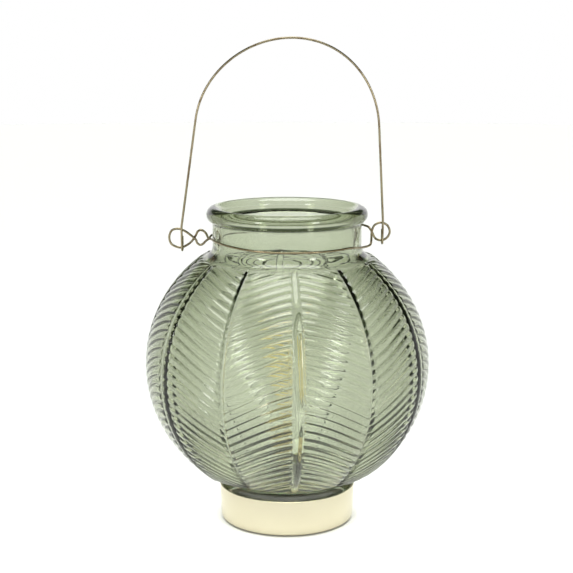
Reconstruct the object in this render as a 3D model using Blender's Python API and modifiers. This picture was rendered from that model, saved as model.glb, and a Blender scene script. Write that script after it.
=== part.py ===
"""Glass globe lantern: ribbed glass on a gold metal cup, wire bail, battery bulb and its works.

Metres, +Z up. The origin is at the middle of the underside, on the surface that the feet stand on,
and the front of the lantern faces -Y.
"""

import math

import bmesh
import bpy
from mathutils import Vector

# Fits
GAP = 0.0003  # between pieces that touch or seat on each other
RUNNING_CLEARANCE = 0.0010  # round a piece that moves past another
CUTTER_OVERRUN = 0.0010  # how far a cutter reaches past what it opens
TURN_STEPS = 48
SMALL_TURN_STEPS = 24

# Glass globe: an ellipsoid between a foot and a neck
GLOBE_RADIUS = 0.0750
GLOBE_HALF_HEIGHT = 0.0713
GLASS_WALL = 0.0036
FOOT_HEIGHT = 0.0074
FOOT_WALL = 0.0045
FOOT_CHAMFER = 0.0008
NECK_RADIUS = 0.0395
NECK_WALL = 0.0043
NECK_HEIGHT = 0.0200
NECK_FLARE = 0.0045
BEAD_RADIUS = 0.0041
BEAD_OVERHANG = 0.0032

# Wire of the neck ring and of the bail
WIRE_DIAMETER = 0.0012
RING_ABOVE_NECK_ROOT = 0.0056
RING_LIFT_LEFT = 0.0020
RING_LIFT_BACK = 0.0073
EYE_OUTSET = 0.0092
EYE_RADIUS = 0.0048
EYE_RISE = 0.0050
BIGHT_OUTSET = 0.0171
BIGHT_RADIUS = 0.0050
BIGHT_RISE = 0.0015
HOOK_RADIUS = 0.0020
HOOK_TAIL = 0.0068
BAIL_IN_FRONT = 0.0028
BAIL_ARCH_ABOVE_HOOK = 0.0615
BAIL_ARCH_RADIUS = 0.0480
BAIL_LEAN = 0.0025

# Metal cup
CUP_WALL = 0.0007
CUP_LIP = 0.0043
CUP_FLARE = 0.0008
CUP_ABOVE_SEAT = 0.0038
CUP_EDGE_RADIUS = 0.0012
CUP_BELOW_TRAY = 0.0001

# Battery tray
CHASSIS_WALL = 0.0012
CHASSIS_ROOF = 0.0012
CELL_DIAMETER = 0.0105
CELL_LENGTH = 0.0445
CELL_SPACING = 0.0005
CELL_NUB_RADIUS = 0.0027
CELL_NUB_HEIGHT = 0.0009
CELL_COUNT = 3
CELL_EDGE = 0.0005
SPRING_LENGTH = 0.0034
SPRING_WIRE = 0.0005
SPRING_FOOT_RADIUS = 0.0038
SPRING_TIP_RADIUS = 0.0020
SPRING_TURNS = 3
CONTACT_THICKNESS = 0.0005
CONTACT_EDGE = 0.0009

# Battery hatch
COVER_THICKNESS = 0.0014
COVER_EAR_RADIUS = 0.0034
COVER_EAR_OUTSET = 0.0018
TONGUE_WIDTH = 0.0080
TONGUE_LENGTH = 0.0017
TONGUE_THICKNESS = 0.0007
GRIP_COUNT = 4
GRIP_PITCH = 0.0022
GRIP_WIDTH = 0.0010
GRIP_DEPTH = 0.0004
GRIP_FROM_HINGE = 0.0040
SCREW_HEAD_RADIUS = 0.0019
SCREW_SHANK_RADIUS = 0.0010
SCREW_LENGTH = 0.0060
SCREW_HOLE_SLACK = 0.0005
SCREW_SUNK = 0.0001
PAN_HEAD_HEIGHT = 0.0011
DRIVER_SLOT_LENGTH = 0.0024
DRIVER_SLOT_WIDTH = 0.0004
DRIVER_SLOT_DEPTH = 0.0006
PLATE_SCREW_TURN = math.radians(52)

# Board and slide switch
BOARD_LENGTH = 0.0220
BOARD_WIDTH = 0.0096
BOARD_THICKNESS = 0.0010
SWITCH_LENGTH = 0.0110
SWITCH_WIDTH = 0.0064
SWITCH_HEIGHT = 0.0044
KNOB_LENGTH = 0.0030
KNOB_WIDTH = 0.0028
KNOB_TRAVEL = 0.0020
KNOB_ENGAGEMENT = 0.0010
KNOB_SUNK = 0.0003
KNOB_GROOVE_PITCH = 0.0009
KNOB_GROOVE_WIDTH = 0.0004
KNOB_GROOVE_DEPTH = 0.0003
NAIL_RECESS = 0.0012
NAIL_RECESS_ALONG = 0.0015
NAIL_RECESS_ACROSS = 0.0008
CHIP_SIZE = (0.0050, 0.0039, 0.0015)
RESISTOR_RADIUS = 0.0009
RESISTOR_LENGTH = 0.0036
LEAD_DIAMETER = 0.0010
LEAD_INSIDE_HUB = 0.00285  # where the lamp leads are fully under the raised hub

# Rubber feet
PAD_RADIUS = 0.0026
PAD_PROUD = 0.0006
PAD_RECESS = 0.0009
PAD_ALONG = 0.0165
PAD_INSET = 0.0008
PAD_EDGE = 0.0003

# Gasket, bulb plate and lamp
GASKET_THICKNESS = 0.0008
PLATE_THICKNESS = 0.0008
PLATE_RIM = 0.0046
PLATE_RISE = 0.0028
PLATE_HUB_RADIUS = 0.0215
PLATE_HOLE_RADIUS = 0.0070
PLATE_STEP_SLOPE = 0.0003
SOCKET_RADIUS = 0.0105
SOCKET_FLANGE_RADIUS = 0.0130
SOCKET_FLANGE = 0.0012
SOCKET_FLOOR = 0.0012
SOCKET_HEIGHT = 0.0125
SOCKET_WIRE_HOLE = 0.0024
CAP_RADIUS = 0.0069
CAP_WALL = 0.0004
CAP_HEIGHT = 0.0215
THREAD_DEPTH = 0.0005
THREAD_PITCH = 0.0028
THREAD_TURNS = 5
BULB_RADIUS = 0.0245
BULB_NECK_RADIUS = 0.0084
BULB_RISE = 0.0430
BULB_WALL = 0.0006
STEM_RADIUS = 0.0020
STEM_HEIGHT = 0.0180
STEM_IN_CAP = 0.0015
FILAMENT_LENGTH = 0.0390
FILAMENT_RADIUS = 0.0009
FILAMENT_FOOT_SPREAD = 0.0050
FILAMENT_TOP_SPREAD = 0.0086
FILAMENT_COUNT = 4
FILAMENT_TURN = math.radians(20)
STAR_THICKNESS = 0.0004
STAR_ARM = 0.0007
STAR_OVERHANG = 0.0009
MAST_RADIUS = 0.0006
BULB_TIP_RADIUS = 0.0024
BULB_TIP_HEIGHT = 0.0009
INSULATOR_HEIGHT = 0.0016
INSULATOR_TIP_RADIUS = 0.0034
SOCKET_LEAF_RADIUS = 0.0038

# Heights that follow, from the ground up
chassis_bottom = PAD_PROUD
cell_axis_z = chassis_bottom + COVER_THICKNESS + GAP + CELL_DIAMETER / 2
pocket_roof_z = cell_axis_z + CELL_DIAMETER / 2 + GAP
deck_z = pocket_roof_z + CHASSIS_ROOF
gasket_z = deck_z + GAP
foot_z = gasket_z + GASKET_THICKNESS + GAP
cup_top_z = foot_z + CUP_ABOVE_SEAT
plate_z = deck_z + GAP
hub_z = plate_z + PLATE_RISE
socket_z = hub_z + PLATE_THICKNESS + GAP
socket_contact_z = socket_z + SOCKET_FLOOR + GAP
tip_z = socket_contact_z + CONTACT_THICKNESS + GAP
insulator_z = tip_z + BULB_TIP_HEIGHT + GAP
cap_z = insulator_z + INSULATOR_HEIGHT + GAP
cap_top_z = cap_z + CAP_HEIGHT
bulb_middle_z = cap_top_z + BULB_RISE
stem_z = cap_top_z - STEM_IN_CAP
filament_z = stem_z + STEM_HEIGHT + STAR_THICKNESS + 2 * GAP
knob_low_z = chassis_bottom + KNOB_SUNK
switch_z = chassis_bottom + NAIL_RECESS + CHASSIS_ROOF + GAP
board_z = switch_z + SWITCH_HEIGHT + GAP
lead_z = pocket_roof_z - GAP - LEAD_DIAMETER / 2
tongue_z = chassis_bottom + COVER_THICKNESS - TONGUE_THICKNESS

# Plan sizes that follow from the cells
pocket_half_length = (CELL_LENGTH + SPRING_LENGTH) / 2 + CONTACT_THICKNESS + 2.5 * GAP
pocket_half_width = (CELL_COUNT * (CELL_DIAMETER + CELL_SPACING) - CELL_SPACING) / 2 + GAP
opening_radius = math.hypot(pocket_half_length, pocket_half_width) + CHASSIS_WALL
cup_radius = opening_radius + GAP + CUP_LIP
cup_top_radius = cup_radius + CUP_FLARE
foot_radius = cup_radius + CUP_FLARE / 2 - CUP_WALL - GAP
foot_bore = foot_radius - FOOT_WALL
plate_radius = foot_bore - 2 * GAP
ear_x = pocket_half_length + COVER_EAR_OUTSET
works_y = pocket_half_width + CHASSIS_WALL + GAP + BOARD_WIDTH / 2 + GAP
pad_y = works_y - PAD_INSET
hatch_hinge = Vector((-pocket_half_length, 0, chassis_bottom))


def half_height_at(radius, wall=0.0):
    """Height above the globe's middle at which its ellipsoid, less a wall, has this radius."""
    share = radius / (GLOBE_RADIUS - wall)
    return (GLOBE_HALF_HEIGHT - wall) * math.sqrt(1 - share * share)


globe_z = foot_z + FOOT_HEIGHT + half_height_at(foot_radius)
neck_root_z = globe_z + half_height_at(NECK_RADIUS)
bead_z = neck_root_z + NECK_HEIGHT
ring_radius = NECK_RADIUS + GAP + WIRE_DIAMETER / 2
ring_z = neck_root_z + RING_ABOVE_NECK_ROOT
eye = Vector((ring_radius + EYE_OUTSET, 0, ring_z + EYE_RISE))
bight = Vector((-ring_radius - BIGHT_OUTSET, 0, ring_z + BIGHT_RISE))
hook_right = Vector((eye.x + 0.0009, 0.0006, eye.z - EYE_RADIUS))
hook_left = Vector((bight.x + 0.0018, 0.0006, bight.z - BIGHT_RADIUS))


def clear_scene():
    for thing in list(bpy.data.objects):
        bpy.data.objects.remove(thing, do_unlink=True)


def new_collection(name):
    group = bpy.data.collections.new(name)
    bpy.context.scene.collection.children.link(group)
    return group


def new_finish(name, colour, roughness, metallic=0.0, transmission=0.0):
    """A Principled material of one colour."""
    finish = bpy.data.materials.new(name)
    finish.use_nodes = True
    shader = finish.node_tree.nodes["Principled BSDF"]
    shader.inputs["Base Color"].default_value = (*colour, 1.0)
    shader.inputs["Roughness"].default_value = roughness
    shader.inputs["Metallic"].default_value = metallic
    shader.inputs["Transmission Weight"].default_value = transmission
    return finish


clear_scene()
lantern = new_collection("glass_lantern")
cutters = new_collection("cutters")

GREEN_GLASS = new_finish("green_glass", (0.52, 0.60, 0.42), 0.03, transmission=1.0)
CLEAR_GLASS = new_finish("clear_glass", (0.95, 0.95, 0.95), 0.02, transmission=1.0)
GOLD = new_finish("pale_gold", (0.86, 0.76, 0.48), 0.18, metallic=1.0)
BRASS_WIRE = new_finish("brass_wire", (0.58, 0.50, 0.30), 0.30, metallic=1.0)
BLACK_PLASTIC = new_finish("black_plastic", (0.03, 0.03, 0.03), 0.45)
GREY_RUBBER = new_finish("grey_rubber", (0.20, 0.20, 0.20), 0.80)
CLEAR_SEAL = new_finish("silicone", (0.75, 0.78, 0.72), 0.50)
NICKEL = new_finish("nickel", (0.70, 0.70, 0.68), 0.30, metallic=1.0)
CELL_SLEEVE = new_finish("cell_sleeve", (0.05, 0.16, 0.22), 0.35)
GREEN_BOARD = new_finish("green_board", (0.03, 0.22, 0.10), 0.40)
YELLOW_PHOSPHOR = new_finish("yellow_phosphor", (0.85, 0.55, 0.06), 0.60)
RED_SLEEVE = new_finish("red_sleeve", (0.45, 0.03, 0.02), 0.45)
BLACK_SLEEVE = new_finish("black_sleeve", (0.03, 0.03, 0.03), 0.45)


def add_part(name, data, finish, origin=(0, 0, 0)):
    part = bpy.data.objects.new(name, data)
    part.location = origin
    data.materials.append(finish)
    lantern.objects.link(part)
    return part


def turned(name, outline, finish, steps=TURN_STEPS, centre=(0, 0)):
    """Turns an outline of (radius, height) points about a vertical axis. It runs down its outer side."""
    on_axis = outline[0][0] == 0 and outline[-1][0] == 0
    edges = [(i, i + 1) for i in range(len(outline) - 1)]
    if not on_axis:
        edges.append((len(outline) - 1, 0))
    mesh = bpy.data.meshes.new(name)
    mesh.from_pydata([(radius, 0, z) for radius, z in outline], edges, [])
    part = add_part(name, mesh, finish, (centre[0], centre[1], 0))
    screw = part.modifiers.new("Turn", "SCREW")
    screw.steps = steps
    screw.render_steps = steps
    screw.merge_threshold = 0.00001
    screw.use_merge_vertices = True
    screw.use_smooth_shade = True
    return part


def disc(name, radius, low, high, finish, centre=(0, 0), steps=SMALL_TURN_STEPS):
    return turned(name, [(0, high), (radius, high), (radius, low), (0, low)], finish, steps, centre)


def washer(name, bore, radius, low, high, finish, centre=(0, 0), steps=SMALL_TURN_STEPS):
    outline = [(bore, high), (radius, high), (radius, low), (bore, low)]
    return turned(name, outline, finish, steps, centre)


def block(name, low, high, finish, origin=(0, 0, 0)):
    """A box between two corners, with its object's origin at a point of its own."""
    low, high, origin = Vector(low), Vector(high), Vector(origin)
    mesh = bpy.data.meshes.new(name)
    shape = bmesh.new()
    bmesh.ops.create_cube(shape, size=1.0)
    bmesh.ops.scale(shape, vec=high - low, verts=shape.verts)
    bmesh.ops.translate(shape, vec=(high + low) / 2 - origin, verts=shape.verts)
    shape.to_mesh(mesh)
    shape.free()
    return add_part(name, mesh, finish, origin)


def wire(name, points, diameter, finish, origin=(0, 0, 0), sides=8, looped=False):
    """A round wire through a list of points, its section a polygon of this many sides."""
    curve = bpy.data.curves.new(name, "CURVE")
    curve.dimensions = "3D"
    curve.bevel_depth = diameter / 2
    curve.bevel_resolution = sides // 2 - 2
    curve.use_fill_caps = True
    spline = curve.splines.new("POLY")
    spline.points.add(len(points) - 1)
    for spot, place in zip(spline.points, points):
        spot.co = (*(Vector(place) - Vector(origin)), 1.0)
    spline.use_cyclic_u = looped
    return add_part(name, curve, finish, origin)


def flat_plate(name, outline, low, high, finish):
    """A flat outline of (x, y) points, filled and given a thickness."""
    curve = bpy.data.curves.new(name, "CURVE")
    curve.dimensions = "2D"
    curve.fill_mode = "BOTH"
    curve.extrude = (high - low) / 2
    spline = curve.splines.new("POLY")
    spline.points.add(len(outline) - 1)
    for spot, (x, y) in zip(spline.points, outline):
        spot.co = (x, y, 0, 1.0)
    spline.use_cyclic_u = True
    return add_part(name, curve, finish, (0, 0, (low + high) / 2))


def as_cutter(shape):
    lantern.objects.unlink(shape)
    cutters.objects.link(shape)
    shape.hide_render = True
    shape.display_type = "WIRE"
    return shape


def combine(part, tool, operation):
    modifier = part.modifiers.new(tool.name, "BOOLEAN")
    modifier.operation = operation
    modifier.solver = "EXACT"
    modifier.object = as_cutter(tool)


def cut(part, tool):
    combine(part, tool, "DIFFERENCE")


def join(part, tool):
    combine(part, tool, "UNION")


def cut_box(part, name, low, high):
    cut(part, block(name, low, high, part.data.materials[0]))


def cut_hole(part, name, radius, low, high, centre, steps=SMALL_TURN_STEPS):
    cut(part, disc(name, radius, low, high, part.data.materials[0], centre, steps))


def arc(centre, radius, start, end, count):
    """Points of an arc in a plane, from one angle in degrees to another."""
    angles = [math.radians(start + (end - start) * i / count) for i in range(count + 1)]
    return [(centre[0] + radius * math.cos(a), centre[1] + radius * math.sin(a)) for a in angles]


def bend(first, corner, last, count):
    """Points of a curve that leaves and arrives along the two lines through a corner."""
    points = []
    for i in range(count + 1):
        t = i / count
        weights = ((1 - t) ** 2, 2 * t * (1 - t), t * t)
        points.append(tuple(sum(w * p[k] for w, p in zip(weights, (first, corner, last))) for k in (0, 1)))
    return points


def smooth_path(stations, pieces):
    """A Catmull-Rom curve through the stations, each stretch cut into the same number of pieces."""
    stations = [Vector(place) for place in stations]
    ends = [2 * stations[0] - stations[1]] + stations + [2 * stations[-1] - stations[-2]]
    points = []
    for a, b, c, d in zip(ends, ends[1:], ends[2:], ends[3:]):
        for i in range(pieces):
            t = i / pieces
            points.append(
                0.5 * (2 * b + (c - a) * t + (2 * a - 5 * b + 4 * c - d) * t * t
                       + (3 * b - a - 3 * c + d) * t * t * t)
            )
    points.append(stations[-1])
    return points


def globe_arc(radius_from, radius_to, wall, count):
    """(radius, height) points down the ellipsoid, from its upper half to its lower half."""
    wide, high = GLOBE_RADIUS - wall, GLOBE_HALF_HEIGHT - wall
    start = math.acos(radius_from / wide)
    end = -math.acos(radius_to / wide)
    angles = [start + (end - start) * i / count for i in range(count + 1)]
    return [(wide * math.cos(a), globe_z + high * math.sin(a)) for a in angles]


def make_glass_globe():
    """The shell: bead, neck, ellipsoid and foot outside, then back up inside."""
    bead_r = NECK_RADIUS + BEAD_OVERHANG - BEAD_RADIUS
    under_bead = math.degrees(math.acos((NECK_RADIUS - bead_r) / BEAD_RADIUS))
    flare_r = NECK_RADIUS + NECK_FLARE
    flare = (flare_r, globe_z + half_height_at(flare_r))
    neck_root = (NECK_RADIUS, neck_root_z)
    outside = arc((bead_r, bead_z), BEAD_RADIUS, 90, -under_bead, 6)
    outside += bend((NECK_RADIUS, neck_root_z + NECK_FLARE * 0.8), neck_root, flare, 2)
    outside += globe_arc(flare_r, foot_radius, 0.0, 13)[1:]
    outside += [(foot_radius, foot_z + FOOT_CHAMFER), (foot_radius - FOOT_CHAMFER, foot_z)]
    bore = NECK_RADIUS - NECK_WALL
    bore_root_z = globe_z + half_height_at(bore, GLASS_WALL)
    inner_flare_r = bore + NECK_FLARE
    inner_flare = (inner_flare_r, globe_z + half_height_at(inner_flare_r, GLASS_WALL))
    inside = [(foot_bore, foot_z)]
    inside += list(reversed(globe_arc(inner_flare_r, foot_bore, GLASS_WALL, 10)))[:-1]
    inside += bend(inner_flare, (bore, bore_root_z), (bore, bore_root_z + NECK_FLARE), 2)
    inside += arc((bead_r, bead_z), BEAD_RADIUS, 215, 110, 4)
    turned("glass_globe", outside + inside, GREEN_GLASS)


def make_gasket():
    washer("glass_gasket", foot_bore + GAP, foot_radius, gasket_z, gasket_z + GASKET_THICKNESS,
           CLEAR_SEAL, steps=TURN_STEPS)


def make_base_cup():
    """A drawn cup whose bottom is a lip turned in all round, which the battery tray sits on."""
    low = chassis_bottom - CUP_BELOW_TRAY
    opening = opening_radius + GAP
    rise = (cup_radius - CUP_EDGE_RADIUS, low + CUP_EDGE_RADIUS)
    outline = [(cup_top_radius, cup_top_z)]
    outline += arc(rise, CUP_EDGE_RADIUS, 0, -90, 4)
    outline += [(opening, low), (opening, low + CUP_WALL)]
    outline += arc(rise, CUP_EDGE_RADIUS - CUP_WALL, -90, 0, 2)
    outline += [(cup_top_radius - CUP_WALL, cup_top_z)]
    turned("base_cup", outline, GOLD)


def make_chassis():
    """The battery tray: a stepped disc with the cells' pocket below and the board's pocket above."""
    step_z = chassis_bottom + CUP_WALL + GAP
    shoulder = cup_radius - CUP_WALL - GAP
    low_edge = cup_radius - CUP_EDGE_RADIUS
    outline = [
        (0, deck_z), (shoulder, deck_z), (shoulder, step_z + CUP_EDGE_RADIUS), (low_edge, step_z),
        (opening_radius, step_z), (opening_radius, chassis_bottom), (0, chassis_bottom),
    ]
    chassis = turned("chassis", outline, BLACK_PLASTIC)
    below = chassis_bottom - CUTTER_OVERRUN
    above = deck_z + CUTTER_OVERRUN
    cut_cell_pocket(chassis, below)
    cut_works_pockets(chassis, below, above)
    for number, centre in enumerate(pad_places()):
        top = chassis_bottom + PAD_RECESS + GAP
        cut_hole(chassis, f"pad_recess_{number}", PAD_RADIUS + GAP, below, top, centre)
    for number, centre in enumerate(plate_screw_places()):
        low = deck_z - SCREW_LENGTH
        cut_hole(chassis, f"plate_screw_hole_{number}", SCREW_SHANK_RADIUS + GAP, low, above, centre, 12)


def cut_cell_pocket(chassis, below):
    """The cells' pocket, open below, and the places in its edge for the hatch's ear, screw and tongue."""
    long, wide = pocket_half_length, pocket_half_width
    cut_box(chassis, "cell_pocket", (-long, -wide, below), (long, wide, pocket_roof_z))
    ear_top = chassis_bottom + COVER_THICKNESS + GAP
    cut_hole(chassis, "ear_recess", COVER_EAR_RADIUS + GAP, below, ear_top, (ear_x, 0))
    hole_top = chassis_bottom + SCREW_LENGTH + RUNNING_CLEARANCE
    hole_radius = SCREW_SHANK_RADIUS + SCREW_HOLE_SLACK
    cut_hole(chassis, "cover_screw_hole", hole_radius, below, hole_top, (ear_x, 0))
    slot_high = tongue_z + TONGUE_THICKNESS + TONGUE_LENGTH
    half = TONGUE_WIDTH / 2 + GAP
    slot_end = -long - TONGUE_LENGTH - GAP
    slot_low = tongue_z - GAP
    cut_box(chassis, "tongue_slot", (slot_end, -half, slot_low), (CUTTER_OVERRUN - long, half, slot_high))


def cut_works_pockets(chassis, below, above):
    """Stepped pockets for the board and the switch, the knob's slot, and notches for the leads."""
    near = works_y - BOARD_WIDTH / 2 - GAP
    far = works_y + BOARD_WIDTH / 2 + GAP
    half = BOARD_LENGTH / 2 + GAP
    cut_box(chassis, "board_pocket", (-half, near, board_z - GAP), (half, far, above))
    half = SWITCH_LENGTH / 2 + GAP
    reach = SWITCH_WIDTH / 2 + GAP
    corner = (-half, works_y - reach, switch_z - GAP)
    cut_box(chassis, "switch_pocket", corner, (half, works_y + reach, above))
    half = KNOB_LENGTH / 2 + KNOB_TRAVEL + GAP
    reach = KNOB_WIDTH / 2 + GAP
    cut_box(chassis, "knob_slot", (-half, works_y - reach, below), (half, works_y + reach, above))
    half += NAIL_RECESS_ALONG
    reach += NAIL_RECESS_ACROSS
    recess_top = chassis_bottom + NAIL_RECESS
    cut_box(chassis, "nail_recess", (-half, works_y - reach, below), (half, works_y + reach, recess_top))
    notch_low = lead_z - LEAD_DIAMETER / 2 - GAP
    notch_high = lead_z + LEAD_DIAMETER / 2 + GAP
    for number, side in enumerate((-1, 1)):
        x = side * BOARD_LENGTH / 3
        low = (x - LEAD_DIAMETER, pocket_half_width - CUTTER_OVERRUN, notch_low)
        high = (x + LEAD_DIAMETER, near + CUTTER_OVERRUN, notch_high)
        cut_box(chassis, f"lead_notch_{number}", low, high)


def pad_places():
    return [(x * PAD_ALONG, y * pad_y) for x in (-1, 1) for y in (-1, 1)]


def plate_screw_places():
    reach = plate_radius - PLATE_RIM / 2
    place = (reach * math.cos(PLATE_SCREW_TURN), reach * math.sin(PLATE_SCREW_TURN))
    return [place, (-place[0], -place[1])]


def make_battery_cover():
    """The hatch: a plate in the pocket's mouth, with a tongue at one end and a screw's ear at the other."""
    long = pocket_half_length - GAP
    wide = pocket_half_width - GAP
    low = chassis_bottom
    top = low + COVER_THICKNESS
    cover = block("battery_cover", (-long, -wide, low), (long, wide, top), BLACK_PLASTIC, hatch_hinge)
    join(cover, disc("cover_ear", COVER_EAR_RADIUS, low, top, BLACK_PLASTIC, (ear_x, 0)))
    half = TONGUE_WIDTH / 2
    corner = (-long - TONGUE_LENGTH, -half, tongue_z)
    join(cover, block("cover_tongue", corner, (CUTTER_OVERRUN - long, half, top), BLACK_PLASTIC))
    sink = screw_outline(low, GAP, SCREW_LENGTH)
    cut(cover, turned("cover_countersink", sink, BLACK_PLASTIC, SMALL_TURN_STEPS, (ear_x, 0)))
    reach = wide * 0.4
    for number in range(GRIP_COUNT):
        x = GRIP_FROM_HINGE - long + number * GRIP_PITCH
        high = (x + GRIP_WIDTH, reach, low + GRIP_DEPTH)
        cut_box(cover, f"cover_grip_{number}", (x, -reach, low - CUTTER_OVERRUN), high)


def screw_outline(low, slack, length):
    """A countersunk screw seen from the side, its head at the bottom, larger all round by the slack."""
    head = SCREW_HEAD_RADIUS + slack
    shank = SCREW_SHANK_RADIUS + slack
    top = low + length
    return [
        (0, top), (shank, top), (shank, low + head - shank), (head, low + slack / 2), (head, low - slack),
        (0, low - slack),
    ]


def make_cover_screw():
    low = chassis_bottom + SCREW_SUNK
    outline = screw_outline(low, 0, SCREW_LENGTH)
    screw = turned("cover_screw", outline, NICKEL, SMALL_TURN_STEPS, (ear_x, 0))
    long, short = DRIVER_SLOT_LENGTH / 2, DRIVER_SLOT_WIDTH / 2
    for name, x, y in (("driver_slot_a", long, short), ("driver_slot_b", short, long)):
        corner = (ear_x - x, -y, low - CUTTER_OVERRUN)
        cut_box(screw, name, corner, (ear_x + x, y, low + DRIVER_SLOT_DEPTH))


def make_plate_screws():
    """Pan-head screws that hold the bulb plate down."""
    head_low = plate_z + PLATE_THICKNESS + GAP
    head_top = head_low + PAN_HEAD_HEIGHT
    point = deck_z - SCREW_LENGTH
    shank = SCREW_SHANK_RADIUS
    outline = [
        (0, head_top), (SCREW_HEAD_RADIUS * 0.63, head_top - 0.0001),
        (SCREW_HEAD_RADIUS, head_low + PAN_HEAD_HEIGHT * 0.36), (SCREW_HEAD_RADIUS, head_low),
        (shank, head_low), (shank, point + shank), (0, point + shank * 0.4),
    ]
    for number, centre in enumerate(plate_screw_places(), 1):
        turned(f"plate_screw_{number}", outline, NICKEL, 16, centre)


def cell_rows():
    """Each cell's y, and the side that its positive end faces."""
    pitch = CELL_DIAMETER + CELL_SPACING
    middle = (CELL_COUNT - 1) / 2
    return [((row - middle) * pitch, 1 if row % 2 == 0 else -1) for row in range(CELL_COUNT)]


def contact_face():
    """Distance from the middle to the inner face of the contact plates."""
    return pocket_half_length - GAP - CONTACT_THICKNESS


def make_cells():
    radius = CELL_DIAMETER / 2
    tip = contact_face() - GAP
    shoulder = tip - CELL_NUB_HEIGHT
    tail = tip - CELL_LENGTH
    edge = radius - CELL_EDGE
    outline = [
        (0, tip), (CELL_NUB_RADIUS, tip), (CELL_NUB_RADIUS, shoulder), (edge, shoulder),
        (radius, shoulder - CELL_EDGE), (radius, tail + CELL_EDGE), (edge, tail), (0, tail),
    ]
    for number, (y, side) in enumerate(cell_rows(), 1):
        cell = turned(f"battery_{number}", outline, CELL_SLEEVE, SMALL_TURN_STEPS)
        cell.rotation_euler = (0, side * math.pi / 2, 0)
        cell.location = (0, y, cell_axis_z)


def make_springs():
    """A coil between each cell's flat end and its contact plate, wider at the plate."""
    steps = SPRING_TURNS * 9
    start = contact_face() - GAP - SPRING_WIRE / 2
    end = CELL_LENGTH - contact_face() + 2 * GAP + SPRING_WIRE / 2
    for number, (y, side) in enumerate(cell_rows(), 1):
        points = []
        for i in range(steps + 1):
            t = i / steps
            radius = SPRING_FOOT_RADIUS + (SPRING_TIP_RADIUS - SPRING_FOOT_RADIUS) * t
            angle = 2 * math.pi * SPRING_TURNS * t
            x = -side * (start + (end - start) * t)
            points.append((x, y + radius * math.cos(angle), cell_axis_z + radius * math.sin(angle)))
        wire(f"battery_spring_{number}", points, SPRING_WIRE, NICKEL, sides=6)


def make_contact_plates():
    """Two plates at each end: one joins two cells, and one serves a single cell."""
    pitch = CELL_DIAMETER + CELL_SPACING
    half = CELL_DIAMETER / 2 - CONTACT_EDGE
    low = cell_axis_z - half + 0.0006
    high = cell_axis_z + half - 0.0004
    spans = [(-1, -pitch, 0), (-1, pitch, pitch), (1, -pitch, -pitch), (1, 0, pitch)]
    for number, (side, first, last) in enumerate(spans, 1):
        near = side * contact_face()
        far = side * (contact_face() + CONTACT_THICKNESS)
        corner = (min(near, far), first - half, low)
        block(f"contact_plate_{number}", corner, (max(near, far), last + half, high), NICKEL)


def make_board():
    half = BOARD_LENGTH / 2
    reach = BOARD_WIDTH / 2
    top = board_z + BOARD_THICKNESS
    block("circuit_board", (-half, works_y - reach, board_z), (half, works_y + reach, top), GREEN_BOARD)
    x, y, z = CHIP_SIZE
    low = top + GAP
    block("timer_chip", (-x / 2, works_y - y / 2, low), (x / 2, works_y + y / 2, low + z), BLACK_PLASTIC)
    half = RESISTOR_LENGTH / 2
    outline = [(0, half), (RESISTOR_RADIUS, half - 0.0003), (RESISTOR_RADIUS, 0.0006 - half), (0, -half)]
    resistor = turned("resistor", outline, CELL_SLEEVE, 12)
    resistor.rotation_euler = (math.pi / 2, 0, 0)
    resistor.location = (CHIP_SIZE[0] / 2 + 0.0026, works_y, low + RESISTOR_RADIUS)


def make_switch():
    """The switch's case, slotted underneath for its slider, and the knob on the slider."""
    half = SWITCH_LENGTH / 2
    reach = SWITCH_WIDTH / 2
    top = switch_z + SWITCH_HEIGHT
    case = block("switch_body", (-half, works_y - reach, switch_z), (half, works_y + reach, top), NICKEL)
    half = KNOB_LENGTH / 2 + KNOB_TRAVEL + GAP
    reach = KNOB_WIDTH / 2 + GAP
    depth = switch_z + KNOB_ENGAGEMENT + GAP
    corner = (-half, works_y - reach, switch_z - CUTTER_OVERRUN)
    cut_box(case, "slider_slot", corner, (half, works_y + reach, depth))
    half = KNOB_LENGTH / 2
    reach = KNOB_WIDTH / 2
    top = switch_z + KNOB_ENGAGEMENT
    corner = (-half, works_y - reach, knob_low_z)
    origin = (0, works_y, chassis_bottom)
    knob = block("switch_knob", corner, (half, works_y + reach, top), BLACK_PLASTIC, origin)
    half = KNOB_GROOVE_WIDTH / 2
    for number in (-1, 0, 1):
        x = number * KNOB_GROOVE_PITCH
        corner = (x - half, works_y - KNOB_WIDTH, knob_low_z - CUTTER_OVERRUN)
        high = (x + half, works_y + KNOB_WIDTH, knob_low_z + KNOB_GROOVE_DEPTH)
        cut_box(knob, f"knob_groove_{number + 1}", corner, high)


def battery_lead_route(side):
    """From an end contact along the pocket's upper corner, through a notch and up onto the board."""
    wall_y = pocket_half_width
    corner_y = wall_y - GAP - LEAD_DIAMETER / 2 - 0.0002
    board_top = board_z + BOARD_THICKNESS + GAP + LEAD_DIAMETER / 2
    turn_x = side * BOARD_LENGTH / 3
    return [
        (side * (contact_face() - 0.0010), corner_y, lead_z),
        (turn_x + side * 0.0060, corner_y, lead_z),
        (turn_x + side * 0.0008, corner_y + 0.0004, lead_z),
        (turn_x, wall_y + 0.0008, lead_z),
        (turn_x, wall_y + 0.0024, lead_z - 0.0002),
        (turn_x, wall_y + 0.0042, board_top),
    ]


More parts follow.
